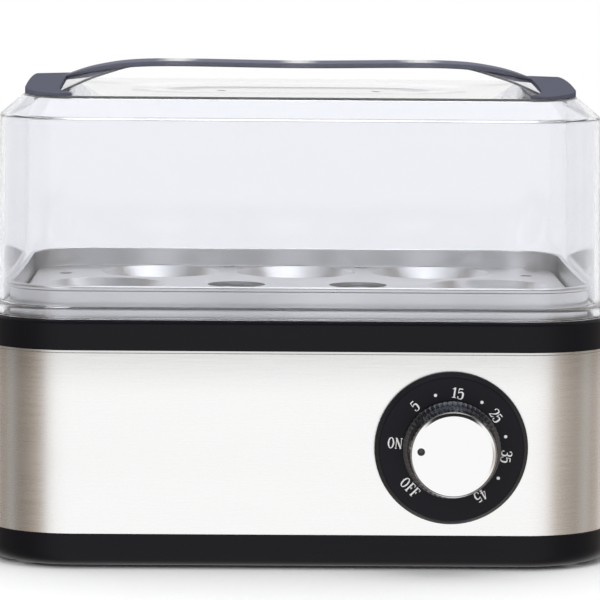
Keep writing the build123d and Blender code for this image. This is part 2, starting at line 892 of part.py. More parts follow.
def switch_cam():
    start = contact_y() - cam_height / 2
    cam = along_y(dial_x, dial_z, start, start + cam_height, cam_radius)
    notch = radians(90 - (mark_on - cam_notch_turn))
    notch_x = dial_x + cam_radius * cos(notch)
    notch_z = dial_z + cam_radius * sin(notch)
    cam -= along_y(notch_x, notch_z, start - 1, start + cam_height + 1, cam_notch_radius)
    return cam - along_y(dial_x, dial_z, start - 1, start + cam_height + 1, shaft_radius)


def contact_leaves():
    """Two spring strips beside the cam, each with its tab outside the case and a contact button."""
    start = dial_x - case_width / 2 - tab_length
    end = dial_x - cam_radius - leaf_gap
    leaves = []
    for level in contact_levels():
        leaf = block(start, contact_y() - tab_width / 2, level - leaf_sheet / 2, end - start, tab_width, leaf_sheet)
        inward = 1 if level < dial_z else -1
        places = sorted((level, dial_z - inward * contact_gap))
        leaves.append(leaf + upright(end - button_inset, contact_y(), *places, button_radius))
    return Compound(leaves)


def contact_block():
    x = dial_x - case_width / 2 + case_sheet
    low, high = contact_levels()
    low -= block_cover
    high += block_cover
    body = block(x, contact_y() - tab_width / 2 - block_margin, low, leaf_grip, tab_width + 2 * block_margin, high - low)
    for level in contact_levels():
        body -= block(x - 1, contact_y() - tab_width / 2, level - leaf_sheet / 2, leaf_grip + 2, tab_width, leaf_sheet)
    return body


def dial_plate():
    back = front_face
    front = front_face - dial_thickness
    profile = Polyline((0, 0), (dial_radius, 0), (dial_radius, dial_edge),
                       (dial_radius - dial_bevel, dial_thickness), (0, dial_thickness), close=True)
    plane = Plane(origin=(dial_x, back, dial_z), x_dir=(1, 0, 0), z_dir=(0, 0, -1))
    disc = revolve(plane * make_face(profile), Axis((dial_x, back, dial_z), (0, 1, 0)))
    disc -= along_y(dial_x, dial_z, back + 1, front - 1, bush_radius + slip)
    for x in timer_screw_places():
        disc -= along_y(x, dial_z, back + 1, back - 1.8, screw_radius + 1.4)
    return disc


def knob_body():
    """A fluted knob with a plain ring at its foot and a seat for the cap in its face."""
    ring_part = along_y(dial_x, dial_z, knob_back, knob_back - knob_ring, knob_radius)
    ring_part = chamfer([e for e in ring_part.edges() if abs(e.center().Y - knob_back + knob_ring) < 1e-3], 0.4)
    points = []
    for i in range(knob_flutes):
        for half, radius in ((0, knob_side_radius), (0.5, knob_side_radius - flute_depth)):
            angle = 2 * pi * (i + half) / knob_flutes
            points.append((radius * cos(angle), radius * sin(angle)))
    star = make_face(Polyline(*points, close=True))
    shrink = degrees(atan2(knob_side_radius - knob_front_radius, knob_length - knob_ring))
    plane = Plane(origin=(dial_x, knob_back - knob_ring, dial_z), x_dir=(1, 0, 0), z_dir=(0, -1, 0))
    side = extrude(plane * star, knob_length - knob_ring - 0.6, taper=shrink)
    front_ring = along_y(dial_x, dial_z, knob_front + 0.7, knob_front, knob_front_radius)
    knob = ring_part + side + front_ring
    knob -= along_y(dial_x, dial_z, knob_front + cap_thickness, knob_front - 1, cap_radius + touch)
    hub = shaft_radius + 2.2
    hollow = along_y(dial_x, dial_z, knob_back + 1, knob_front + cap_thickness + 1.6, knob_front_radius - 2.2)
    hollow -= along_y(dial_x, dial_z, knob_back + 2, knob_front, hub)
    knob -= hollow
    bore = along_y(dial_x, dial_z, knob_back + 1, shaft_tip() - 0.3, shaft_radius + touch)
    return knob - (bore - flat_cut(touch))


def shaft_tip():
    return knob_front + cap_thickness + 2.0


def flat_cut(clearance):
    """The space beside the shaft's flat, over the length that sits in the knob."""
    low = dial_z + shaft_radius - flat_depth + clearance
    return block(dial_x - 6, shaft_tip() - 2, low, 12, knob_back - shaft_tip() + 2, 6)


def knob_cap():
    seat = knob_front + cap_thickness
    profile_points = [(0, 0), (cap_radius, 0), (cap_radius, cap_thickness - 0.4)]
    plane = Plane(origin=(dial_x, seat, dial_z), x_dir=(1, 0, 0), z_dir=(0, 0, -1))
    edge = Polyline(*profile_points, (cap_radius - 0.4, cap_thickness), close=False)
    crown = ThreePointArc((cap_radius - 0.4, cap_thickness),
                          (cap_radius / 2, cap_thickness + cap_crown * 0.75), (0, cap_thickness + cap_crown))
    face = make_face(Curve() + [edge, crown, Line((0, cap_thickness + cap_crown), (0, 0))])
    cap = revolve(plane * face, Axis((dial_x, seat, dial_z), (0, 1, 0)))
    angle = radians(mark_on)
    dimple = Pos(dial_x + pointer_at * sin(angle), knob_front - 0.7, dial_z + pointer_at * cos(angle))
    return cap - dimple * Sphere(pointer_radius)


def timer_shaft():
    shaft = along_y(dial_x, dial_z, case_back - 1.2, shaft_tip(), shaft_radius)
    return shaft - flat_cut(0)


def egg_places():
    front = [(x * column_pitch, -row_pitch) for x in (-1, 0, 1)]
    rear = [(x * column_pitch, row_pitch) for x in (-1, 0, 1)]
    return front + [(-side_column, 0), (side_column, 0)] + rear


def egg_seat(x, y):
    """A thin cone that hangs under its hole and carries the egg."""
    slope = atan2(egg_hole_top - egg_hole_bottom, egg_dish)
    across = tray_sheet / cos(slope)
    section = Polyline((egg_hole_top, tray_top), (egg_hole_bottom, tray_top - egg_dish),
                       (egg_hole_bottom + across, tray_top - egg_dish),
                       (egg_hole_top + across, tray_top - 0.01), close=True)
    return Pos(x, y, 0) * revolve(Plane.XZ * make_face(section), Axis.Z)


def egg_tray():
    skirt_bottom = step_top + seat_gap
    outer = slab(tray_inset, skirt_bottom, tray_top)
    outer = fillet(edges_at(outer, tray_top), 1.6)
    inner = slab(tray_inset + tray_sheet, skirt_bottom - 1, tray_top - tray_sheet)
    inner = fillet(edges_at(inner, tray_top - tray_sheet), 0.8)
    tray = outer - inner
    for x, y in egg_places():
        tray -= upright(x, y, tray_top - 3, tray_top + 1, egg_hole_top)
        tray += egg_seat(x, y)
    for x in (-lift_hole_x, lift_hole_x):
        tray -= upright(x, 0, tray_top - 3, tray_top + 1, lift_hole_radius)
    for x, y in steam_places():
        tray -= upright(x, y, tray_top - 3, tray_top + 1, steam_hole_radius)
    return tray


def steam_places():
    """Small holes in the flats that the egg seats leave free."""
    middle = column_pitch / 2
    places = []
    for side in (-1, 1):
        for end in (-1, 1):
            places.append((side * middle, end * (row_pitch + steam_from_row)))
            places.append((side * (side_column + steam_from_side), end * (row_pitch - steam_before_row)))
    return places


def bridge_curve(drop):
    """The bridge's long section: up from one pad, over a shallow dip, down to the other."""
    peak = lid_top + bridge_rise + cover_thickness - drop
    half = [(bridge_shoulder_x, peak), (bridge_knee_x, peak - bridge_knee_drop),
            (pad_inner_x, peak - bridge_end_drop),
            (pad_inner_x + bridge_root, peak - bridge_end_drop - bridge_root_drop)]
    left = [(-x, z) for x, z in reversed(half)]
    return Spline(*left, (0, peak - bridge_dip), *half)


def bridge_band(top_drop, bottom_drop, half_depth):
    """The part of the bridge's section between two drops below its crest, along Y."""
    top = bridge_curve(top_drop)
    bottom = bridge_curve(bottom_drop)
    ends = [Line(top @ 1, bottom @ 1), Line(bottom @ 0, top @ 0)]
    face = make_face(Curve() + [top, bottom] + ends)
    return extrude(Plane.XZ * face, half_depth, both=True)


def bridge_plan(low, high):
    """Seen from above the clear bridge is a narrow strip that flares out to the full pads."""
    reach = body_depth / 2 - top_inset - flare_end_inset
    root = pad_inner_x + bridge_root
    flare = Spline((flare_start_x, bridge_half), (flare_mid_x, flare_mid_y), (pad_inner_x, reach),
                   tangents=[(1, 0.25), (0.35, 1)])
    quarter = Curve() + [Line((0, 0), (0, bridge_half)), Line((0, bridge_half), (flare_start_x, bridge_half)),
                         flare, Line((pad_inner_x, reach), (root, reach)), Line((root, reach), (root, 0)),
                         Line((root, 0), (0, 0))]
    face = make_face(quarter)
    solid = extrude(Pos(0, 0, low) * face, high - low)
    half = solid + mirror(solid, Plane.YZ)
    return half + mirror(half, Plane.XZ)


def clear_bridge():
    band = bridge_band(cover_thickness, cover_thickness + bridge_thickness, body_depth / 2)
    return band & bridge_plan(lid_top - 2, lid_peak + 2)


def lid_block(extra):
    """The lid's outside as a solid, or with extra as the wall the space inside it."""
    bottom = lid_bottom - (1 if extra else 0)
    slope = atan2(chamfer_height, chamfer_run)
    knee = chamfer_level - extra * tan(pi / 4 - slope / 2)
    top_run = top_inset + extra * tan(slope / 2)
    corner = lid_top_corner - extra / 2
    wall = taper(bottom, knee, lid_inset + extra, lid_inset + lid_draft + extra)
    cap = taper(knee, lid_top - extra, lid_inset + lid_draft + extra, top_run, None, corner)
    return wall + cap


def dish(top, depth, spread):
    """The shallow finger dish in the lid's top, as a block that tapers downwards."""
    long = dish_length + 2 * spread
    wide = dish_width + 2 * spread
    upper = Pos(0, 0, top) * RectangleRounded(long, wide, dish_corner)
    lower = Pos(0, 0, top - depth) * RectangleRounded(long - 2 * dish_slope, wide - 2 * dish_slope,
                                                      dish_corner - dish_slope / 2)
    return loft([lower, upper], ruled=True)


def lid_shell():
    outer = lid_block(0)
    inner = lid_block(lid_wall)
    flange = slab(flange_inset, lid_bottom, lid_bottom + flange_height)
    flange = fillet(edges_at(flange, lid_bottom + flange_height), flange_edge)
    shell = outer + flange - inner
    shell += dish(lid_top - lid_wall + 0.5, dish_depth + 0.5, 2.0)
    shell -= dish(lid_top, dish_depth, 0)
    shell += clear_bridge()
    for x in (-lid_vent_x, lid_vent_x):
        shell -= upright(x, 0, lid_top - dish_depth - lid_wall - 2, lid_top - dish_depth + 1, vent_radius)
    for x, y in corners(peg_x, peg_y):
        shell -= upright(x, y, lid_top - lid_wall - 2, lid_top + 1, peg_radius + touch)
    return shell


def handle_cover():
    """Black end pads along both edges of the lid's top, and the strap over the bridge."""
    pads = slab(top_inset + 0.2, lid_top, lid_top + pad_height, lid_top_corner)
    pads = fillet(edges_at(pads, lid_top + pad_height), 0.8)
    window = RectangleRounded(2 * pad_inner_x, body_depth - 2 * top_inset + 2 * pad_window_over, pad_window_corner)
    pads -= extrude(Pos(0, 0, lid_top - 1) * window, pad_height + 3)
    strap = bridge_band(0, cover_skirt, bridge_half + cover_side)
    strap &= strap_plan()
    cover = pads + strap
    cover -= clear_bridge()
    for x, y in corners(peg_x, peg_y):
        cover += upright(x, y, lid_top - lid_wall - peg_head_height, lid_top + 0.5, peg_radius)
        cover += upright(x, y, lid_top - lid_wall - peg_head_height, lid_top - lid_wall, peg_head)
    return cover


def strap_plan():
    """Seen from above the strap narrows towards the pads."""
    half = bridge_half + cover_side
    reach = pad_inner_x + bridge_root
    points = [(-reach, -cover_tip_half), (-bridge_knee_x, -half), (bridge_knee_x, -half),
              (reach, -cover_tip_half), (reach, cover_tip_half), (bridge_knee_x, half),
              (-bridge_knee_x, half), (-reach, cover_tip_half)]
    face = make_face(Polyline(*points, close=True))
    solid = extrude(Pos(0, 0, lid_top) * face, lid_peak - lid_top + 2)
    return fillet([e for e in solid.edges().filter_by(Axis.Z) if abs(abs(e.center().X) - bridge_knee_x) < 0.1],
                  cover_bend_radius)


save("base_housing", base_housing())
for side_x, side_name in ((-1, "left"), (1, "right")):
    for side_y, end_name in ((-1, "front"), (1, "rear")):
        save(f"foot_{end_name}_{side_name}", Pos(side_x * foot_x, side_y * foot_y, 0) * foot())
save("base_screws", base_screws())
save("steel_wrap", steel_wrap())
save("upper_rim", upper_rim())
save("rim_seal", rim_seal())
save("water_pan", water_pan())
save("heater_plate", heater_plate())
save("heating_element", heating_element())
save("element_clamps", element_clamps())
save("clamp_nuts", clamp_nuts())
save("thermostat", thermostat())
save("thermostat_screws", thermostat_screws())
save("thermal_fuse", thermal_fuse())
save("fuse_clip", fuse_clip())
save("terminal_block", terminal_block())
save("block_screws", block_screws())
save("cord_gland", cord_gland())
save("earth_screw", earth_screw())
for lead_name, lead_places in leads().items():
    save(lead_name, lead(lead_name, lead_places))
save("timer_plate", timer_plate())
save("timer_case", timer_case())
save("timer_screws", timer_screws())
save("mainspring", mainspring())
save("contact_leaves", contact_leaves())
save("contact_block", contact_block())
save("dial_plate", dial_plate())
save("timer_shaft", timer_shaft())
save("main_wheel", main_wheel())
save("switch_cam", switch_cam())
save("governor", governor())
save("knob_body", knob_body())
save("knob_cap", knob_cap())
save("egg_tray", egg_tray())
save("lid_shell", lid_shell())
save("handle_cover", handle_cover())
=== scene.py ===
# %% [markdown]
# # An electric egg cooker, dressed in Blender
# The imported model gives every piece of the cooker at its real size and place: a black base, a brushed
# steel band, a black rim, a steel pan with its tray, a clear lid with an arched handle, and the timer.
# This lesson keeps the pieces that are right as they are and gives them a finish. The pieces that
# carry the look, such as the lid, the band and the knob, are modelled again with finer edges.

import json
from math import atan2, cos, pi, radians, sin, sqrt

import bmesh
import bpy
from mathutils import Matrix, Quaternion, Vector


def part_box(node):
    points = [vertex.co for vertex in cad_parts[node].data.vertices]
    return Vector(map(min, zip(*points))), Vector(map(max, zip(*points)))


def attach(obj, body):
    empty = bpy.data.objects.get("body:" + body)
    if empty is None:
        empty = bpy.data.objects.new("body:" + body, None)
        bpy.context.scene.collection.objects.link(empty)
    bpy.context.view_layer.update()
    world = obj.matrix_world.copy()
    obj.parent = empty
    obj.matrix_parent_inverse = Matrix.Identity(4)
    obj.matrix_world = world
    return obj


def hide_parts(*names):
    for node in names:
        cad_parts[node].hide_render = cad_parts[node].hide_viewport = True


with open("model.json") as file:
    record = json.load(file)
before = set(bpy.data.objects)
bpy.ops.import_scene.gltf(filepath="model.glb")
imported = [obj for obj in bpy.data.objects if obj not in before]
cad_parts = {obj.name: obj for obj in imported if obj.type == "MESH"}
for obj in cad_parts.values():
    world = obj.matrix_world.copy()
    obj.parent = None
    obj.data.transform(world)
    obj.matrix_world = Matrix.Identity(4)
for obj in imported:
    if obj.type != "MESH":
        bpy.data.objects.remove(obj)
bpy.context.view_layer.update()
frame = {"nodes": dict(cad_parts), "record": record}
scene = bpy.context.scene
print("pieces in the frame:", len(frame["nodes"]))

# %% [markdown]
# The sizes in this lesson are the cooker's own, in millimetres as a maker would write them, and MM turns
# them into Blender's metres. The centre of the body comes from the frame, because the knob in front
# moves it away from the origin.

# %% Sizes
MM = 0.001
body_low, body_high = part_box("base_housing")
lid_low, lid_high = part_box("lid_shell")
dial_low, dial_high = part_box("dial_plate")
centre_y = (body_low.y + body_high.y) / 2
half_width = (body_high.x - body_low.x) / 2
half_depth = (body_high.y - body_low.y) / 2
body_corner = 28.0
dial_x = (dial_low.x + dial_high.x) / 2
dial_z = (dial_low.z + dial_high.z) / 2
print("body", round(half_width * 2 / MM, 1), "by", round(half_depth * 2 / MM, 1), "mm")

# %% [markdown]
# ## Camera
# The photograph was taken from far away with a long lens, a little above the cooker. The place, the
# turn and the lens come from fitting the straight edges of the base, the band and the lid.

# %% Camera
camera_place = Vector((-17.49 * MM, -1219.4 * MM + centre_y, 200.2 * MM))
camera_pitch = radians(5.929)
camera_yaw = radians(-0.865)
camera_roll = radians(0.454)
forward = Vector((-sin(camera_yaw) * cos(camera_pitch), cos(camera_yaw) * cos(camera_pitch),
                  -sin(camera_pitch)))
camera_data = bpy.data.cameras.new("camera")
camera_data.sensor_width = 36
camera_data.lens = 235.1
camera = bpy.data.objects.new("camera", camera_data)
camera.location = camera_place
camera.rotation_mode = "QUATERNION"
camera.rotation_quaternion = forward.to_track_quat("-Z", "Y") @ Quaternion((0, 0, 1), camera_roll)
scene.collection.objects.link(camera)
scene.camera = camera
scene.view_settings.view_transform = "Standard"
print("lens:", round(camera_data.lens, 1), "mm")

# %% [markdown]
# ## Writing materials as expressions
# A node tree is easier to read as a sum. `Value` wraps an output socket, so that arithmetic on it adds
# Math nodes. `Finish` is one material: it adds any other node and feeds the shader's sockets. A Mix node
# has a set of sockets for each kind of data, so its colour sockets are found by their numbers.

# %% Sockets that can be added and multiplied
MIX_FACTOR, MIX_FIRST, MIX_SECOND, MIX_COLOUR = 0, 6, 7, 2


def connect(tree, socket, term):
    """Link a Value to a socket, or set the socket to a plain number, vector or colour."""
    if isinstance(term, Value):
        tree.links.new(term.socket, socket)
    elif socket.type == "RGBA":
        socket.default_value = (*term, 1)
    else:
        socket.default_value = term


def add_node(tree, kind, settings=None, inputs=None, output=0):
    """Add one shader node: its settings first, then the values or links of its sockets."""
    node = tree.nodes.new("ShaderNode" + kind)
    for name, setting in (settings or {}).items():
        if name == "stops":
            ramp = node.color_ramp.elements
            while len(ramp) < len(setting):
                ramp.new(1.0)
            for stop, (place, colour) in zip(ramp, setting):
                stop.position = place
                stop.color = (*colour, 1)
        else:
            setattr(node, name, setting)
    for name, term in (inputs or {}).items():
        connect(tree, node.inputs[name], term)
    return Value(tree, node.outputs[output])


def mix_colours(tree, factor, first, second):
    """From the first colour to the second by a factor. Each is a Value or three numbers."""
    return add_node(tree, "Mix", {"data_type": "RGBA"},
                    {MIX_FACTOR: factor, MIX_FIRST: first, MIX_SECOND: second}, MIX_COLOUR)


def ray_is(tree, first, *others):
    """1 where the ray is of one of these kinds: Camera, Glossy or Transmission."""
    share = add_node(tree, "LightPath", output=f"Is {first} Ray")
    for kind in others:
        share = share.math("MAXIMUM", add_node(tree, "LightPath", output=f"Is {kind} Ray"))
    return share


class Value:
    """An output socket. Arithmetic on it adds Math nodes to the same tree."""

    def __init__(self, tree, socket):
        self.tree = tree
        self.socket = socket

    def math(self, operation, *terms):
        return add_node(self.tree, "Math", {"operation": operation}, dict(enumerate((self, *terms))))

    def __add__(self, other):
        return self.math("ADD", other)

    __radd__ = __add__

    def __sub__(self, other):
        return self.math("SUBTRACT", other)

    def __rsub__(self, other):
        return self * -1 + other

    def __mul__(self, other):
        return self.math("MULTIPLY", other)

    __rmul__ = __mul__

    def __truediv__(self, other):
        return self.math("DIVIDE", other)

    def above(self, edge, soft):
        """0 below the edge, 1 above it, with a soft step between."""
        return add_node(self.tree, "MapRange", {"interpolation_type": "SMOOTHSTEP"},
                        {"Value": self, "From Min": edge - soft, "From Max": edge + soft})

    def split(self):
        """The three numbers of a vector."""
        parts = add_node(self.tree, "SeparateXYZ", {}, {0: self}).socket.node.outputs
        return [Value(self.tree, socket) for socket in parts]


class Finish:
    """One material: its node tree and the few nodes that every finish here is made of."""

    def __init__(self, name, fixed):
        self.material = bpy.data.materials.new(name)
        self.material.use_nodes = True
        self.tree = self.material.node_tree
        self.shader = self.tree.nodes["Principled BSDF"]
        for socket, setting in fixed.items():
            self.feed(socket, setting)

    def add(self, kind, settings=None, inputs=None, output=0):
        return add_node(self.tree, kind, settings, inputs, output)

    def feed(self, socket, term):
        connect(self.tree, self.shader.inputs[socket], term)

    def place(self, scale=(1, 1, 1), centre=(0, 0, 0)):
        """The point on the piece, moved to a centre and stretched."""
        point = self.add("TexCoord", output="Object")
        shift = [-a * b for a, b in zip(centre, scale)]
        return self.add("Mapping", {}, {"Vector": point, "Location": shift, "Scale": scale})

    def distance(self, scale=(1, 1, 1), centre=(0, 0, 0)):
        """How far the point is from a centre. An axis with a scale of 0 doesn't count."""
        return self.add("VectorMath", {"operation": "LENGTH"}, {0: self.place(scale, centre)}, "Value")

    def noise(self, scale, detail=3.0, rough=0.55):
        """Soft noise with so many grains per metre along X, Y and Z."""
        return self.add("TexNoise", {}, {"Vector": self.place(scale), "Scale": 1.0, "Detail": detail,
                                         "Roughness": rough})

    def mix(self, factor, first, second):
        return mix_colours(self.tree, factor, first, second)

    def tint(self, factor, first, second):
        """Base colour between two colours by a factor."""
        self.feed("Base Color", self.mix(factor, first, second))

    def bump(self, height, distance, strength=1.0):
        self.feed("Normal", self.add("Bump", {}, {"Height": height, "Distance": distance,
                                                  "Strength": strength}))


# %% [markdown]
# ## The light
# A studio for steel and plastic is mostly what they reflect: a wide white screen in front, warm darker
# walls at both sides with one paler strip each, white overhead and behind, and a dark gap between the
# screen and the light overhead. The right wall is a little lighter. Only mirror reflections see all
# this. All other light is plain white, and the camera sees white behind the cooker. A direction's turn
# runs from 0 in front, over 0.5 at the sides, to 1 behind.

# %% World
WHITE = (1.0, 1.0, 1.0)
screen_half_angle = 37.5
screen_edge = screen_half_angle / 180
edge_soft = 0.006
screen_rim = (0.99, 0.99, 0.995)
wall_light = (0.40, 0.325, 0.265)
wall_dark = (0.172, 0.143, 0.114)
wall_strip = (0.5, 0.49, 0.48)
right_glow = (0.9, 0.82, 0.74)
gap_dark = (0.02, 0.02, 0.02)
gap_level = 0.31
gap_turn = 0.34
gap_soft = 0.06
overhead_pale = (0.62, 0.62, 0.63)
overhead_level = 0.8
plain_light = (0.72, 0.725, 0.735)

world = bpy.data.worlds.new("studio")
world.use_nodes = True
scene.world = world
sky = world.node_tree
sky.nodes.clear()
east, north, up = add_node(sky, "TexCoord", output="Generated").split()
turn = east.math("ABSOLUTE").math("ARCTAN2", north * -1) / pi
walls = add_node(sky, "ValToRGB", {"stops": [
    (0.0, WHITE), (screen_edge - edge_soft, screen_rim), (screen_edge + edge_soft, wall_light),
    (0.40, wall_dark), (0.455, wall_dark), (0.485, wall_strip), (0.515, wall_strip), (0.545, wall_dark),
    (0.66, wall_light), (0.75, WHITE),
]}, {"Fac": turn})
walls = mix_colours(sky, east.above(0.3, 0.2) * 0.15, walls, right_glow)
gap = up.above(gap_level, gap_soft) * (1 - turn.above(gap_turn, gap_soft))
reflected = mix_colours(sky, gap, walls, gap_dark)
reflected = mix_colours(sky, up.above(overhead_level, 0.05), reflected, overhead_pale)
plain = mix_colours(sky, ray_is(sky, "Camera", "Transmission"), plain_light, WHITE)
colour = mix_colours(sky, ray_is(sky, "Glossy"), plain, reflected)
background = add_node(sky, "Background", {}, {"Color": colour, "Strength": 1.0})
sky_out = sky.nodes.new("ShaderNodeOutputWorld")
sky.links.new(background.socket, sky_out.inputs["Surface"])
print("the screen reaches", screen_half_angle, "degrees to each side")


# %% [markdown]
# Two large soft lamps give the forms a little shape: one over the cooker and one from the front left.
# Mirror reflections don't see them, because the studio's walls are there for that.

# %% Lamps
lamp_target = Vector((0, centre_y, 70 * MM))


def soft_lamp(name, place, size, power):
    lamp_data = bpy.data.lights.new(name, "AREA")
    lamp_data.shape = "RECTANGLE"
    lamp_data.size, lamp_data.size_y = size
    lamp_data.energy = power
    lamp = bpy.data.objects.new(name, lamp_data)
    lamp.location = place
    lamp.rotation_mode = "QUATERNION"
    lamp.rotation_quaternion = (lamp_target - Vector(place)).to_track_quat("-Z", "Y")
    lamp.visible_glossy = False
    scene.collection.objects.link(lamp)
    print(name, "of", power, "W")


soft_lamp("top_lamp", (0.1, 0.1, 1.1), (1.2, 0.9), 6.5)
soft_lamp("front_lamp", (-0.7, -1.1, 0.8), (0.9, 0.7), 5.0)

# %% [markdown]
# ## Floor
# The floor is a wide pale disc. Towards its edge it turns into plain white, so no horizon shows, and
# near the cooker it keeps the soft shadow.

# %% Floor
floor_radius = 4.0
shadow_reach = 0.34
shadow_fade = 0.14
bpy.ops.object.select_all(action="DESELECT")
bpy.ops.mesh.primitive_circle_add(vertices=96, radius=floor_radius, fill_type="NGON", location=(0, 0, 0))
floor = bpy.context.object
floor.name = "floor"
paper = Finish("floor_paper", {"Roughness": 0.9, "Specular IOR Level": 0.0})
paper.tint(paper.noise((60, 60, 60)), (0.93, 0.93, 0.93), (0.95, 0.95, 0.95))
plain_share = paper.distance().above(shadow_reach, shadow_fade)
plain_share = plain_share * ray_is(paper.tree, "Camera", "Glossy", "Transmission")
white_light = paper.add("Emission", {}, {"Color": WHITE, "Strength": 1.0})
paper_light = Value(paper.tree, paper.shader.outputs["BSDF"])
surface = paper.add("MixShader", {}, {0: plain_share, 1: paper_light, 2: white_light})
connect(paper.tree, paper.tree.nodes["Material Output"].inputs["Surface"], surface)
floor.data.materials.append(paper.material)
floor.visible_glossy = False
print("floor radius:", floor_radius, "m")


# %% [markdown]
# ## Finishes
# Most of the cooker is moulded, pressed or drawn stock. One function makes them all: a colour that
# wanders a little, a roughness that wanders with it, and a fine grain for the bump.

# %% One function for the plain finishes
def plain_finish(name, colour, roughness, metallic=0.0, grain=900, depth=0.02, wander=0.12, fixed=None):
    """grain is in grains per metre, depth in millimetres and wander the share the colour varies by."""
    finish = Finish(name, {"Metallic": metallic, **(fixed or {})})
    cloud = finish.noise((45, 45, 45), 4.0)
    fine = finish.noise((grain, grain, grain), 2.0)
    darker = [c * (1 - wander) for c in colour]
    lighter = [min(1.0, c * (1 + wander)) for c in colour]
    finish.tint(cloud, darker, lighter)
    finish.feed("Roughness", cloud * 0.1 + (roughness - 0.05))
    finish.bump(fine, depth * MM, 0.5)
    return finish.material


finishes = {
    "black_plastic": plain_finish("black_plastic", (0.0035, 0.0033, 0.0062), 0.42, grain=2600, depth=0.012,
                                  fixed={"Specular IOR Level": 0.2}),
    "foot_rubber": plain_finish("foot_rubber", (0.02, 0.02, 0.021), 0.8, grain=1500, depth=0.03),
    "zinc_steel": plain_finish("zinc_steel", (0.62, 0.63, 0.66), 0.34, 1.0),
    "silicone": plain_finish("silicone", (0.62, 0.62, 0.6), 0.55, grain=1200),
    "cast_aluminium": plain_finish("cast_aluminium", (0.6, 0.6, 0.61), 0.5, 1.0, grain=1400, depth=0.04),
    "element_sheath": plain_finish("element_sheath", (0.3, 0.27, 0.24), 0.45, 1.0, wander=0.25),
    "phenolic": plain_finish("phenolic", (0.045, 0.028, 0.02), 0.4),
    "white_nylon": plain_finish("white_nylon", (0.84, 0.84, 0.83), 0.45, wander=0.04),
    "brass_part": plain_finish("brass_part", (0.72, 0.53, 0.24), 0.3, 1.0),
    "lead_brown": plain_finish("lead_brown", (0.16, 0.07, 0.03), 0.5),
    "lead_white": plain_finish("lead_white", (0.72, 0.72, 0.7), 0.5),
    "lead_blue": plain_finish("lead_blue", (0.05, 0.14, 0.42), 0.5),
    "lead_green": plain_finish("lead_green", (0.12, 0.36, 0.08), 0.5),
    "timer_can": plain_finish("timer_can", (0.66, 0.66, 0.67), 0.38, 1.0),
    "spring_steel": plain_finish("spring_steel", (0.33, 0.34, 0.38), 0.25, 1.0),
    "shaft_steel": plain_finish("shaft_steel", (0.58, 0.58, 0.6), 0.22, 1.0),
}
print("plain finishes:", len(finishes))

# %% [markdown]
# The band is stainless sheet, brushed along its length. Long thin noise, stretched round the body and
# packed tight in height, gives the scratches. It drives the colour, the roughness and a faint bump. Below
# the rim the sheet has painted shade: its colour is made a little greyer where the rim keeps light from
# it, and brightens downwards.

# %% Brushed band
rim_shade_level = 60 * MM
rim_shade_soft = 9 * MM
band = Finish("brushed_band", {"Metallic": 1.0, "Anisotropic": 0.55})
long_streak = band.noise((70, 70, 2600), 2.0, 0.6)
short_streak = band.noise((160, 160, 6500), 2.0, 0.6)
patch = band.noise((9, 9, 60), 3.0)
streak = long_streak * 0.6 + short_streak * 0.4
level = band.place().split()[2]
# Painted shade: above this level, under the rim, the steel's colour is made greyer.
painted_rim_shade = level.above(rim_shade_level, rim_shade_soft)
streak_share = streak.above(0.5, 0.3)
unshaded_steel = band.mix(streak_share, (0.955, 0.953, 0.95), (1.0, 0.999, 0.995))
painted_shade_steel = band.mix(streak_share, (0.67, 0.668, 0.662), (0.83, 0.828, 0.822))
band.feed("Base Color", band.mix(painted_rim_shade, unshaded_steel, painted_shade_steel))
band.feed("Roughness", streak * 0.16 + patch * 0.08 + 0.16)
band.bump(streak, 0.012 * MM, 0.6)
finishes["brushed_band"] = band.material

# %% [markdown]
# The pan is drawn from bright sheet that stays a little uneven. Noise that is stretched upwards gives it
# soft upright stripes, which show on the collar: painted reflections in its colour, and real unevenness
# in a wide shallow bump. The tray is pressed from duller sheet with a brushed grain.

# %% Pan and tray steel
pan = Finish("pan_steel", {"Metallic": 1.0})
unevenness_and_painted_reflection = pan.noise((16, 16, 1.5), 1.0)
scuff = pan.noise((500, 500, 120), 2.0)
# Painted reflection: the upright stripes in the colour stand in for reflected light.
pan.tint(unevenness_and_painted_reflection.above(0.5, 0.25), (0.56, 0.56, 0.57), (0.8, 0.8, 0.805))
pan.feed("Roughness", scuff * 0.06 + 0.26)
pan.bump(unevenness_and_painted_reflection, 0.3 * MM, 0.15)
finishes["pan_steel"] = pan.material
tray = Finish("tray_steel", {"Metallic": 1.0})
brush = tray.noise((40, 2400, 2400), 2.0)
cloud = tray.noise((30, 30, 30), 3.0)
tray.tint(cloud, (0.6, 0.6, 0.61), (0.76, 0.76, 0.765))
tray.feed("Roughness", brush * 0.15 + cloud * 0.1 + 0.22)
tray.bump(brush, 0.01 * MM, 0.5)
finishes["tray_steel"] = tray.material

# %% [markdown]
# The dial plate is black plastic too. Its wide bevel is polished, so it catches the light from above. The
# polish is a coat that begins at a distance from the dial's axis.

# %% Dial finish
ACROSS_AXIS = (1, 0, 1)
dial_axis = (dial_x, 0, dial_z)
polish_radius = 21.5 * MM
dial_finish = Finish("dial_black", {"Specular IOR Level": 0.18, "Coat Roughness": 0.3})
speck = dial_finish.noise((3200, 3200, 3200), 2.0)
polish = dial_finish.distance(ACROSS_AXIS, dial_axis).above(polish_radius, 0.2 * MM)
dial_finish.tint(speck, (0.0052, 0.0052, 0.0085), (0.0068, 0.0068, 0.0112))
dial_finish.feed("Coat Weight", polish * 0.6)
dial_finish.feed("Roughness", speck * 0.1 + 0.33)
dial_finish.bump(speck, 0.005 * MM, 0.5)
finishes["dial_black"] = dial_finish.material
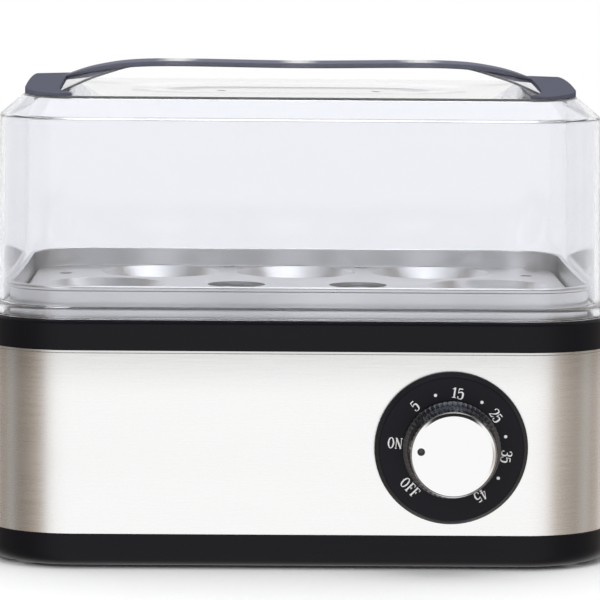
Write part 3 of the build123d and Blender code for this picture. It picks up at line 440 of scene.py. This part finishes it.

# %% [markdown]
# The knob is chromed plastic. Its flutes look dark, because between them they reflect the black dial, so
# their colour is painted darker than the rim round the cap, as a painted reflection of the dial. The cap
# is bright, with a dimple near its edge that points at the marks, painted dark as painted shade in its
# hollow. At rest it stands at ON.

# %% Knob finishes
rim_radius = 12.82 * MM
mark_on = radians(275.0)
pointer_x = dial_x + 9.6 * MM * sin(mark_on)
pointer_z = dial_z + 9.6 * MM * cos(mark_on)
dimple_shade_radius = 1.12 * MM
grip = Finish("knob_chrome", {"Metallic": 1.0})
grip_grain = grip.noise((1500, 1500, 1500), 2.0)
# Painted reflection: the flutes get a darker colour for the black dial they reflect.
flutes_painted_dark = grip.distance(ACROSS_AXIS, dial_axis).above(rim_radius, 0.04 * MM)
grip.tint(flutes_painted_dark, (0.76, 0.77, 0.79), (0.22, 0.235, 0.27))
grip.feed("Roughness", grip_grain * 0.06 + 0.2)
grip.bump(grip_grain, 0.003 * MM, 0.4)
finishes["knob_chrome"] = grip.material
face = Finish("knob_face", {})
grain = face.noise((1200, 1200, 1200), 2.0)
# Painted shade: a dark disc of colour fills the dimple's hollow.
dimple = 1 - face.distance(ACROSS_AXIS, (pointer_x, 0, pointer_z)).above(dimple_shade_radius, 0.12 * MM)
face.tint(dimple * 0.97, (0.95, 0.95, 0.95), (0.02, 0.02, 0.022))
face.feed("Metallic", 1 - dimple * 0.8)
face.feed("Roughness", grain * 0.03 + 0.06)
face.bump(grain, 0.002 * MM, 0.4)
finishes["knob_face"] = face.material

# %% [markdown]
# The handle's cover is slate-black satin plastic. Its strap's colour is painted a little paler than its
# pads, as a painted sheen, and it has three polished places, at its middle and near its shoulders, where
# the hand takes it. A folded distance across the handle gives all three at once, and noise frays their
# edges.

# %% Handle finish
strap_level = lid_high.z - 3.2 * MM
shine_spacing = 18.75 * MM
handle_finish = Finish("handle_black", {"Specular IOR Level": 0.0, "Coat Roughness": 0.07})
speckle = handle_finish.noise((2200, 2200, 2200), 2.0)
across, _, level = handle_finish.place().split()
strap_with_painted_sheen = level.above(strap_level, 1.0 * MM)
# Painted sheen: the strap's colour is paler than the pads' for the light it reflects.
handle_finish.tint(strap_with_painted_sheen, (0.1, 0.102, 0.134), (0.15, 0.154, 0.195))
frayed = handle_finish.noise((700, 300, 300), 2.0) * 6 * MM
from_shine = across.math("PINGPONG", shine_spacing) + frayed
shine = 1 - from_shine.above(7.0 * MM, 3.5 * MM)
handle_finish.feed("Coat Weight", strap_with_painted_sheen * shine * 0.9)
handle_finish.feed("Roughness", speckle * 0.1 + 0.43)
handle_finish.bump(speckle, 0.008 * MM, 0.5)
finishes["handle_black"] = handle_finish.material

# %% [markdown]
# The lid is clear moulded plastic. It bends light as such plastic does, and a trace of blue shows where
# the light crosses it twice.

# %% Clear lid
clear = Finish("clear_lid", {"Transmission Weight": 0.955, "IOR": 1.46,
                             "Base Color": (0.956, 0.965, 0.995)})
haze = clear.noise((60, 60, 60), 2.0)
clear.feed("Roughness", haze * 0.02)
finishes["clear_lid"] = clear.material
print("finishes:", len(finishes))

# %% [markdown]
# Each piece of the frame names its slot in the record, and takes the finish of that name.

# %% Give each piece of the frame its finish
for row in frame["record"]["subparts"]:
    piece = frame["nodes"][row["node"]]
    piece.data.materials.clear()
    piece.data.materials.append(finishes[row["material_slot"]])

# %% [markdown]
# ## Modelling by outlines
# Band, pan and lid share one rounded outline, drawn in or out by a few millimetres at each level. So
# they are modelled as a stack: a plane is rounded at its corners for each level, and the outlines are
# bridged. Edges are then rounded where a moulder or a press would round them. The first tools open a mesh
# and select in it by code what a hand would pick with the mouse.

# %% Open a mesh and select in it
def open_piece(name):
    """A new empty mesh, open in edit mode."""
    bpy.ops.object.select_all(action="DESELECT")
    bpy.ops.object.add(type="MESH", location=(0, 0, 0), enter_editmode=True)
    bpy.context.object.name = name
    return bpy.context.object


def edit_mesh():
    return bmesh.from_edit_mesh(bpy.context.object.data)


def ring_layer(shape):
    """The number of the outline that each point belongs to, or 0 for a new point."""
    return shape.verts.layers.int.get("ring") or shape.verts.layers.int.new("ring")


def select_points(test):
    """Select the points that pass a test, with the edges and faces between them."""
    bpy.ops.mesh.select_mode(type="VERT")
    bpy.ops.mesh.select_all(action="DESELECT")
    shape = edit_mesh()
    for point in shape.verts:
        point.select = test(point)
    shape.select_flush(True)
    bmesh.update_edit_mesh(bpy.context.object.data)


def select_rings(*numbers):
    ring = ring_layer(edit_mesh())
    select_points(lambda point: point[ring] in numbers)


# %% [markdown]
# Each outline is drawn from a primitive, and its points get its number. By these numbers two neighbours
# are found again to bridge them, and a single outline to round the edge along it.

# %% Outlines, the stack and its edges
corner_steps = 20


def box_outline(half_x, half_y, level, corner):
    """A flat rounded outline about the body's centre, in millimetres."""
    place = (0, centre_y, level * MM)
    bpy.ops.mesh.primitive_plane_add(size=2, location=place)
    bpy.ops.transform.resize(value=(half_x * MM, half_y * MM, 1), center_override=place)
    bpy.ops.mesh.bevel(offset=corner * MM, segments=corner_steps, affect="VERTICES")


def body_outline(inset, level, corner=None):
    """The body's rounded outline, drawn in by an inset in millimetres."""
    box_outline(half_width / MM - inset, half_depth / MM - inset, level,
                body_corner - inset if corner is None else corner)


def stack(outlines, closed=False):
    """Bridge outlines into one skin: each entry is a function and its sizes. The ends get caps."""
    for number, (outline, *sizes) in enumerate(outlines):
        bpy.ops.mesh.select_all(action="DESELECT")
        outline(*sizes)
        shape = edit_mesh()
        ring = ring_layer(shape)
        for point in shape.verts:
            if point.select:
                point[ring] = number + 1
        bmesh.update_edit_mesh(bpy.context.object.data)
        bpy.ops.mesh.delete(type="ONLY_FACE")
    last = len(outlines)
    pairs = [(number, number + 1) for number in range(1, last)]
    for first, second in pairs + ([(last, 1)] if closed else []):
        select_rings(first, second)
        bpy.ops.mesh.bridge_edge_loops()
    if not closed:
        for number in (1, last):
            select_rings(number)
            bpy.ops.mesh.edge_face_add()


def soften(radii, steps=3):
    """Round the edges that run along some outlines of the stack: their numbers and radii."""
    for number, radius in radii.items():
        select_rings(number)
        bpy.ops.mesh.bevel(offset=radius * MM, segments=steps, affect="EDGES")


# %% [markdown]
# A skin is then closed, cut or united with others, and settled: it is shaded, and gets its finish and the
# body that it moves with, and the nodes that it stands for are hidden. Weighted normals keep the flat
# faces flat to the light, and let only the rounded edges turn it.

# %% Close, cut and settle a piece
def close_piece():
    """Back to object mode, with every face turned outwards."""
    bpy.ops.mesh.select_all(action="SELECT")
    bpy.ops.mesh.normals_make_consistent(inside=False)
    bpy.ops.object.mode_set(mode="OBJECT")


def make_active(piece):
    bpy.ops.object.select_all(action="DESELECT")
    piece.select_set(True)
    bpy.context.view_layer.objects.active = piece


def apply_modifier(piece, kind, **settings):
    make_active(piece)
    modifier = piece.modifiers.new(kind, kind)
    for name, setting in settings.items():
        setattr(modifier, name, setting)
    bpy.ops.object.modifier_apply(modifier=modifier.name)


def combine(piece, operation, *others):
    """Unite a closed shape with others, or cut them from it. The others are removed."""
    for other in others:
        apply_modifier(piece, "BOOLEAN", operation=operation, object=other, solver="EXACT")
        bpy.data.objects.remove(other, do_unlink=True)


def round_bar(place, length, radius, sides, turn=0):
    """An upright bar about a place, or one turned about X. Length and radius are in millimetres."""
    bpy.ops.object.select_all(action="DESELECT")
    bpy.ops.mesh.primitive_cylinder_add(vertices=sides, radius=radius * MM, depth=length * MM,
                                        location=place, rotation=(turn, 0, 0))
    bpy.ops.object.transform_apply()
    return bpy.context.object


def settle(piece, slot, body, *nodes):
    """Shade a finished piece, give it its finish and its body, and hide the nodes it stands for."""
    make_active(piece)
    bpy.ops.object.shade_smooth_by_angle(angle=radians(32))
    apply_modifier(piece, "WEIGHTED_NORMAL", keep_sharp=True)
    piece.data.materials.clear()
    piece.data.materials.append(finishes[slot])
    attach(piece, body)
    if nodes:
        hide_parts(*nodes)
    print(piece.name, "faces:", len(piece.data.polygons))


# %% [markdown]
# ## The band
# The band is thin sheet with its edges rolled in a little and one fine groove below the rim, which shows
# as a hairline. The section is a closed loop, so the last outline is bridged to the first. Bars then cut
# the holes for the shaft's bush, the timer's two screws and the cord's gland.

# %% Band
band_low, band_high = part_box("steel_wrap")
gland_low, gland_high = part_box("cord_gland")
band_foot = band_low.z / MM
band_head = band_high.z / MM
band_piece = open_piece("band")
stack([
    (body_outline, 0.6, band_foot + 0.15),
    (body_outline, 0.6, band_head - 1.0),
    (body_outline, 0.78, band_head - 0.9),
    (body_outline, 0.6, band_head - 0.75),
    (body_outline, 0.6, band_head - 0.15),
    (body_outline, 0.9, band_head),
    (body_outline, 1.2, band_head - 0.15),
    (body_outline, 1.2, band_foot + 0.15),
    (body_outline, 0.9, band_foot),
], closed=True)
close_piece()

bush_radius = 4.7
screw_spread = 15 * MM
screw_radius = 1.95
gland_radius = 6.2
cut_length = 10
cut_sides = 48
wall_reach = 70 * MM
gland_x = (gland_low.x + gland_high.x) / 2
gland_z = (gland_low.z + gland_high.z) / 2
holes = [
    (dial_x, -wall_reach, dial_z, bush_radius),
    (dial_x - screw_spread, -wall_reach, dial_z, screw_radius),
    (dial_x + screw_spread, -wall_reach, dial_z, screw_radius),
    (gland_x, wall_reach, gland_z, gland_radius),
]
combine(band_piece, "DIFFERENCE", *[round_bar((x, centre_y + y, z), cut_length, radius, cut_sides, pi / 2)
                                    for x, y, z, radius in holes])
settle(band_piece, "brushed_band", "base", "steel_wrap")

# %% [markdown]
# ## The pan
# The pan is drawn from one sheet: a well for the heater, the bowl, a step that rests on the seal, and a
# collar with a rolled hem that stands up inside the lid. The section runs up the outside, over the hem
# and down the inside, and the bends get the radii that a press would leave.

# %% Pan
pan_low, pan_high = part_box("water_pan")
collar_top = pan_high.z / MM
well_floor = pan_low.z / MM
bowl_floor = well_floor + 2.5
step = collar_top - 12.1
pan_piece = open_piece("pan")
stack([
    (box_outline, 58, 35, well_floor, 16),
    (box_outline, 58, 35, bowl_floor + 0.1, 16),
    (body_outline, 11.0, bowl_floor),
    (body_outline, 11.0, step - 0.9),
    (body_outline, 7.8, step - 0.8),
    (body_outline, 7.8, collar_top - 1.7),
    (body_outline, 6.8, collar_top - 1.6),
    (body_outline, 6.8, collar_top - 0.05),
    (body_outline, 8.6, collar_top),
    (body_outline, 8.6, step + 0.05),
    (body_outline, 11.8, step),
    (body_outline, 11.8, bowl_floor + 0.8),
    (box_outline, 57.2, 34.2, bowl_floor + 0.9, 15.2),
    (box_outline, 57.2, 34.2, well_floor + 0.8, 15.2),
])
soften({1: 1.2, 3: 7.0, 5: 0.3, 7: 0.5, 8: 0.7, 9: 0.5, 10: 0.4, 11: 0.4, 12: 6.2, 14: 0.8}, 5)
close_piece()
settle(pan_piece, "pan_steel", "base", "water_pan")

# %% [markdown]
# ## Dial and knob
# These pieces are turned about one axis, so their stacks are made of circles. Depths count forward from
# the band's face. The dial plate is a disc with a wide bevel and a hole for the shaft's bush.

# %% Dial plate
band_face = body_low.y + 0.6 * MM
plate_face = 3.2
round_steps = 96


def round_outline(radius, depth):
    """A circle about the dial's axis, in millimetres."""
    place = (dial_x, band_face - depth * MM, dial_z)
    bpy.ops.mesh.primitive_circle_add(vertices=round_steps, radius=radius * MM, fill_type="NGON",
                                      location=place, rotation=(pi / 2, 0, 0))


dial_plate = open_piece("dial")
stack([
    (round_outline, bush_radius, 0.05),
    (round_outline, 22.8, 0.0),
    (round_outline, 22.8, 1.2),
    (round_outline, 21.4, plate_face),
    (round_outline, bush_radius, plate_face - 0.05),
], closed=True)
soften({3: 0.25, 4: 0.35})
close_piece()
settle(dial_plate, "dial_black", "base", "dial_plate")

# %% [markdown]
# The knob's grip has sixty rounded flutes. An outline has six points for each flute, and every point is
# drawn in by its share of the flute's depth: none on the crest, all in the hollow. The same outline, a
# little larger, runs round the knob's foot.

# %% Knob
flutes = 60
flute_points = 6
flute_shares = {1: 0.25, 2: 0.75, 3: 1.0}
round_steps = flutes * flute_points


def fluted_outline(radius, depth, flute=0.2):
    """A circle about the dial's axis with flutes of a depth, in millimetres."""
    round_outline(radius, depth)
    for phase, share in flute_shares.items():
        shape = edit_mesh()
        ring = ring_layer(shape)
        for point in shape.verts:
            angle = atan2(point.co.z - dial_z, point.co.x - dial_x)
            place = round(angle / (2 * pi) * round_steps) % flute_points
            new = point[ring] == 0
            point.select = new and place in (phase, flute_points - phase)
        bmesh.update_edit_mesh(bpy.context.object.data)
        shrink = 1 - flute * share / radius
        bpy.ops.transform.resize(value=(shrink, 1, shrink), center_override=dial_axis)
    select_rings(0)


knob_back = 3.8
knob_front = 15.2
knob = open_piece("knob")
stack([
    (round_outline, 12.35, knob_front - 1.2),
    (round_outline, 12.35, knob_front - 0.1),
    (round_outline, 12.5, knob_front),
    (round_outline, 12.7, knob_front - 0.12),
    (round_outline, 12.8, knob_front - 0.6),
    (fluted_outline, 12.95, knob_front - 0.9),
    (fluted_outline, 13.35, knob_back + 2.4),
    (round_outline, 13.3, knob_back + 2.15),
    (fluted_outline, 14.4, knob_back + 1.65, 0.25),
    (round_outline, 14.5, knob_back + 1.4),
    (round_outline, 14.5, knob_back + 0.2),
    (round_outline, 14.3, knob_back),
    (round_outline, 10.7, knob_back + 0.1),
    (round_outline, 10.7, 12.4),
    (round_outline, 5.2, 12.3),
    (round_outline, 5.2, knob_back + 1.0),
    (round_outline, 3.05, knob_back + 0.9),
    (round_outline, 3.05, 12.0),
])
close_piece()
settle(knob, "knob_chrome", "timer_knob", "knob_body")

# %% [markdown]
# The cap is a bright disc with a shallow crown and a bevel all round. A ball cuts the dimple into it,
# where its colour is painted dark as painted shade.

# %% Knob cap
round_steps = 192
ball_radius = 1.4
ball_depth = 16.15
cap = open_piece("cap")
stack([
    (round_outline, 12.3, knob_front - 1.15),
    (round_outline, 12.3, 14.85),
    (round_outline, 12.25, 15.0),
    (round_outline, 11.45, 15.24),
    (round_outline, 11.3, 15.29),
    (round_outline, 6.0, 15.44),
    (round_outline, 0.6, 15.5),
])
close_piece()
bpy.ops.object.select_all(action="DESELECT")
bpy.ops.mesh.primitive_uv_sphere_add(segments=48, ring_count=24, radius=ball_radius * MM,
                                     location=(pointer_x, band_face - ball_depth * MM, pointer_z))
bpy.ops.object.transform_apply()
combine(cap, "DIFFERENCE", bpy.context.object)
settle(cap, "knob_face", "timer_knob", "knob_cap")

# %% [markdown]
# The marks are thin raised print in a narrow letter with thick stems, thin bars and small feet. Each
# letter is a few strokes of a pen, and each stroke is a curve whose points carry the pen's width. A word
# becomes a mesh first, is brought to its height and width, and is then stood up on the dial. The ring of
# marks stands a little off the dial's axis, as print often does.

# %% The pen's strokes, in a letter's height
bold, fine = 0.09, 0.036
letter_width = {"O": 0.64, "N": 0.64, "F": 0.52, "1": 0.42, "2": 0.52, "3": 0.52, "4": 0.54, "5": 0.52}
pen_strokes = {
    "O": [[(0.31 + 0.25 * cos(pi * turn / 6), 0.5 + 0.49 * sin(pi * turn / 6),
            fine + (bold - fine) * abs(cos(pi * turn / 6))) for turn in range(13)]],
    "N": [[(0.08, 0.0, fine), (0.08, 1.0, fine)], [(0.09, 0.95, bold), (0.55, 0.05, bold)],
          [(0.56, 0.0, fine), (0.56, 1.0, fine)], [(-0.02, 0.965, fine), (0.16, 0.965, fine)],
          [(-0.02, 0.035, fine), (0.18, 0.035, fine)], [(0.46, 0.965, fine), (0.66, 0.965, fine)]],
    "F": [[(0.15, 0.0, bold), (0.15, 1.0, bold)], [(0.02, 0.965, fine), (0.5, 0.965, fine)],
          [(0.49, 0.97, fine), (0.5, 0.78, fine)], [(0.14, 0.52, fine), (0.37, 0.52, fine)],
          [(0.37, 0.42, fine), (0.37, 0.62, fine)], [(0.02, 0.035, fine), (0.3, 0.035, fine)]],
    "1": [[(0.25, 0.0, bold), (0.25, 0.99, bold)], [(0.05, 0.035, fine), (0.43, 0.035, fine)],
          [(0.22, 0.95, fine), (0.16, 0.86, fine), (0.03, 0.83, fine)]],
    "2": [[(0.1, 0.74, 0.08), (0.04, 0.9, fine), (0.22, 1.04, fine), (0.5, 0.98, bold), (0.52, 0.72, 0.1),
           (0.4, 0.46, 0.06), (0.2, 0.24, fine), (0.05, 0.05, fine)],
          [(0.05, 0.06, 0.06), (0.46, 0.06, 0.06)], [(0.46, 0.06, fine), (0.51, 0.24, fine)]],
    "3": [[(0.1, 0.78, 0.08), (0.05, 0.94, fine), (0.24, 1.04, fine), (0.48, 0.98, bold), (0.5, 0.7, bold),
           (0.38, 0.54, 0.05), (0.18, 0.54, fine)],
          [(0.18, 0.54, fine), (0.44, 0.56, 0.06), (0.56, 0.28, 0.11), (0.46, -0.02, 0.08),
           (0.2, -0.04, fine), (0.04, 0.04, fine), (0.1, 0.2, 0.08)]],
    "4": [[(0.33, 0.98, fine), (0.03, 0.29, fine)], [(0.0, 0.28, 0.042), (0.52, 0.28, 0.042)],
          [(0.36, 0.0, bold), (0.36, 1.0, bold)], [(0.2, 0.035, fine), (0.52, 0.035, fine)]],
    "5": [[(0.12, 0.92, 0.07), (0.47, 0.94, 0.06)], [(0.11, 0.95, fine), (0.09, 0.5, fine)],
          [(0.09, 0.5, fine), (0.2, 0.64, 0.05), (0.52, 0.62, bold), (0.54, 0.26, 0.11),
           (0.46, -0.02, 0.07), (0.2, -0.04, fine), (0.04, 0.04, fine), (0.1, 0.19, 0.08)]],
}
print("letters:", len(pen_strokes))

# %% Marks
pen_scale = 0.84
letter_gap = 0.1
mark_height = 3.3
mark_depth = 0.08
mark_radius = 16.6
ring_right, ring_up = -0.25, 0.12


def stand_up(piece, angle, turn):
    """Move a flat mark from the origin to the dial: its angle and turn are clockwise from the top."""
    right = mark_radius * sin(radians(angle)) + ring_right
    up = mark_radius * cos(radians(angle)) + ring_up
    spot = Vector((dial_x + right * MM, band_face - plate_face * MM, dial_z + up * MM))
    t = radians(turn)
    axes = Matrix(((cos(t), 0, -sin(t)), (sin(t), 0, cos(t)), (0, -1, 0))).transposed()
    piece.matrix_world = Matrix.Translation(spot) @ axes.to_4x4()
    make_active(piece)
    bpy.ops.object.transform_apply()
    return piece


def word(text, angle, turn, width):
    """Write a word with the pen, and stand it up on the dial."""
    ink = bpy.data.curves.new(text, "CURVE")
    ink.dimensions = "3D"
    ink.bevel_depth = pen_scale
    ink.bevel_resolution = 2
    ink.resolution_u = 6
    ink.use_fill_caps = True
    start = 0.0
    for letter in text:
        for stroke in pen_strokes[letter]:
            smooth = len(stroke) > 2
            spline = ink.splines.new("NURBS" if smooth else "POLY")
            spline.points.add(len(stroke) - 1)
            for point, (x, y, pen_radius) in zip(spline.points, stroke):
                point.co = (start + x, y, 0, 1)
                point.radius = pen_radius
            if smooth:
                spline.order_u = 3
                spline.use_endpoint_u = True
        start += letter_width[letter] + letter_gap
    letters = bpy.data.objects.new(text, ink)
    scene.collection.objects.link(letters)
    make_active(letters)
    bpy.ops.object.convert(target="MESH")
    letters = bpy.context.object
    low = Vector([min(corner[axis] for corner in letters.bound_box) for axis in range(3)])
    high = Vector([max(corner[axis] for corner in letters.bound_box) for axis in range(3)])
    middle = (low + high) / 2
    size = high - low
    for point in letters.data.vertices:
        x = (point.co.x - middle.x) / size.x * width
        y = (point.co.y - middle.y) / size.y * mark_height
        point.co = (x * MM, y * MM, point.co.z / size.z * mark_depth * MM)
    return stand_up(letters, angle, turn)


def dot(angle):
    bpy.ops.object.select_all(action="DESELECT")
    bpy.ops.mesh.primitive_cylinder_add(vertices=24, radius=0.48 * MM, depth=0.06 * MM)
    return stand_up(bpy.context.object, angle, 0)


marks = [word(*entry) for entry in (
    ("OFF", 226.0, 45.6, 6.0), ("ON", 275.6, 5, 4.25), ("5", 320, -40, 1.75), ("15", 6.8, 8, 3.5),
    ("25", 53.2, 54, 3.6), ("35", 98.0, 98.6, 3.6), ("45", 147.2, 148, 3.6),
)]
marks += [dot(angle) for angle in (343.5, 33, 77, 121.5)]
make_active(marks[0])
for mark in marks:
    mark.select_set(True)
bpy.ops.object.join()
print_piece = bpy.context.object
print_piece.name = "dial_print"
settle(print_piece, "white_nylon", "base")

# %% [markdown]
# ## The lid
# The lid is one clear moulding: a flange at its foot, walls that lean in by a millimetre, bevelled top
# edges and a shallow dish for the fingers. The section runs from the dish's underside down the inside,
# round the foot and up the outside, so the wall gets its true thickness. Every edge has a small radius,
# because on clear plastic it is the edges that show.

# %% Lid
lid_top = lid_high.z / MM - 7.5
lid_foot = lid_low.z / MM
lid = open_piece("lid_clear")
stack([
    (box_outline, 39, 19, lid_top - 2.3, 16.5),
    (box_outline, 50, 30, lid_top - 1.35, 20),
    (body_outline, 12.6, lid_top - 1.3, 16),
    (body_outline, 6.5, lid_top - 6.8),
    (body_outline, 5.8, lid_foot + 0.1),
    (body_outline, 1.0, lid_foot),
    (body_outline, 1.0, lid_foot + 3.4),
    (body_outline, 3.86, lid_foot + 3.5),
    (body_outline, 4.8, lid_top - 6.0),
    (body_outline, 12.0, lid_top, 16),
    (box_outline, 48, 28, lid_top - 0.05, 20),
    (box_outline, 37, 17, lid_top - 1.0, 16.5),
])
soften({1: 3.0, 2: 3.0, 3: 0.3, 4: 0.3, 5: 0.3, 6: 0.3, 7: 0.8, 8: 0.5, 9: 0.5, 10: 0.3, 11: 3.0,
        12: 3.0}, 4)
close_piece()

# %% [markdown]
# Two vent holes in the dish let the steam out.

# %% Holes in the lid
vent_spread = 24
vent_radius = 1.5
vent_length = 6
vent_sides = 32
vent_level = lid_top - vent_length / 2
vents = [round_bar((x * MM, centre_y, vent_level * MM), vent_length, vent_radius, vent_sides)
         for x in (-vent_spread, vent_spread)]
combine(lid, "DIFFERENCE", *vents)
print("vent holes:", len(vents))

# %% [markdown]
# ## The arched bridge
# The lid's handle is a clear bridge moulded with the lid, and a black cover clipped over it. Both follow
# one long curve: nearly level over the middle, then down in a smooth sweep to the pads. Each part starts
# as a flat grid with a back. Every point of it is then moved to its place along and across the curve.

# %% The curve and the bent sheets
def smooth_curve(*places):
    """A smooth line through (x, value, slope) places, alike on both sides, with cubics between them."""
    def value_at(x):
        x = abs(x)
        for (x0, z0, slope0), (x1, z1, slope1) in zip(places, places[1:]):
            if x <= x1:
                break
        run = x1 - x0
        t = min(1.0, (x - x0) / run)
        return (z0 * (1 + 2 * t) * (1 - t) ** 2 + slope0 * run * t * (1 - t) ** 2
                + z1 * t * t * (3 - 2 * t) + slope1 * run * t * t * (t - 1))
    return value_at


def bent_sheet(name, columns, rows, place, edge):
    """A closed sheet. `place` turns a point's shares along and across, from -1 to 1, into millimetres."""
    bpy.ops.object.select_all(action="DESELECT")
    bpy.ops.mesh.primitive_grid_add(x_subdivisions=columns, y_subdivisions=rows, size=2,
                                    enter_editmode=True)
    sheet = bpy.context.object
    sheet.name = name
    bpy.ops.mesh.select_all(action="SELECT")
    bpy.ops.mesh.extrude_region_move(TRANSFORM_OT_translate={"value": (0, 0, -1)})
    for point in edit_mesh().verts:
        x, y, z = place(point.co.x, point.co.y, point.co.z < -0.5)
        point.co = (x * MM, y * MM + centre_y, z * MM)
    bmesh.update_edit_mesh(sheet.data)
    close_piece()
    apply_modifier(sheet, "BEVEL", width=edge * MM, segments=3, limit_method="ANGLE",
                   angle_limit=radians(50))
    return sheet


crest = lid_top + 8.5
bridge_reach = 80.0
strap_reach = 74.0
pad_edge = 72.0
pad_end = 56.9
pad_rise = 2.0
arch = smooth_curve((0, crest - 0.4, 0.0), (38, crest, 0.0), (50, crest - 0.25, -0.06),
                    (57.5, crest - 1.0, -0.16), (65.4, crest - 2.55, -0.27),
                    (pad_edge, crest - 4.75, -0.38), (76, crest - 6.4, -0.5),
                    (bridge_reach, crest - 8.7, -0.5))

# %% [markdown]
# The bridge is a narrow strip in the middle, and flares to the full length of the pads. Where it meets
# them it crowns as they do, and it always stays a little below the cover.

# %% Bridge
flare = smooth_curve((0, 9, 0.0), (52, 9, 0.5), (60.6, 25, 2.8), (67.5, 45, 2.5), (pad_edge, 53, 0.6),
                     (bridge_reach, 44, -1.6))
bridge_depth = smooth_curve((0, 0.65, 0.0), (50, 0.65, 0.0), (64, 0.8, 0.0), (bridge_reach, 0.8, 0.0))
bridge_drop = smooth_curve((0, 0.85, 0.0), (48, 0.85, 0.0), (60, 1.7, 0.0), (67, 1.5, -0.08),
                           (pad_edge, 0.9, -0.1), (bridge_reach, 0.5, 0.0))
bridge_crown = smooth_curve((0, 0.0, 0.0), (52, 0.0, 0.0), (pad_edge, pad_rise, 0.12),
                            (bridge_reach, pad_rise, 0.0))


def bridge_place(along, across, under):
    x = bridge_reach * along
    y = flare(x) * across
    top = arch(x) - bridge_drop(x) - bridge_crown(x) * (y / pad_end) ** 2
    return x, y, top - bridge_depth(x) * under


bridge = bent_sheet("bridge", 200, 16, bridge_place, 0.2)
combine(lid, "UNION", bridge)
settle(lid, "clear_lid", "lid", "lid_shell")

# %% [markdown]
# The black cover has an end pad along each end of the lid's top, and a strap that narrows towards them.
# Each pad is a skin that crowns towards the middle, where the strap springs from it. Its outer edge stays
# down on the lid and follows the lid's corners, and its inner edge runs out into a short tail in front.

# %% Handle
taper = smooth_curve((0, 10, 0.0), (50, 10, 0.0), (60, 8.6, -0.22), (strap_reach, 4.2, -0.3))
strap_depth = smooth_curve((0, 1.6, 0.0), (56, 1.7, 0.0), (65, 1.6, -0.04), (strap_reach, 0.7, -0.12))
pad_inset = 12.3
pad_corner = 15.0
pad_thickness = 1.5
tail_start = 48.0
tail_radius = 12.0
thinner_outside = 0.3
thinner_at_ends = 0.55


def strap_place(along, across, under):
    x = strap_reach * along
    return x, taper(x) * across, arch(x) - strap_depth(x) * under


def pad_place(side):
    """The place of a point on one pad: its first share runs outwards and its second to the rear."""
    reach = half_width / MM - pad_inset
    straight = half_depth / MM - pad_inset - pad_corner

    def place(outwards, rearwards, under):
        t = (outwards + 1) / 2
        y = pad_end * sin(rearwards * pi / 2)
        past = max(0.0, abs(y) - straight)
        outer = reach - pad_corner + sqrt(pad_corner ** 2 - past ** 2)
        tail = max(0.0, -y - tail_start)
        inner = pad_edge - tail_radius + sqrt(tail_radius ** 2 - tail ** 2)
        rise = pad_rise * (1 - (y / pad_end) ** 2)
        thin = thinner_outside * t + thinner_at_ends * (y / pad_end) ** 4
        level = lid_top + rise * (1 - t) if under else lid_top + pad_thickness - thin + rise
        return side * (inner + (outer - inner) * t), y, level
    return place


handle = bent_sheet("handle", 8, 90, pad_place(-1), 0.25)
right_pad = bent_sheet("right_pad", 8, 90, pad_place(1), 0.25)
strap = bent_sheet("strap", 160, 4, strap_place, 0.35)
combine(handle, "UNION", right_pad, strap)
settle(handle, "handle_black", "lid", "handle_cover")
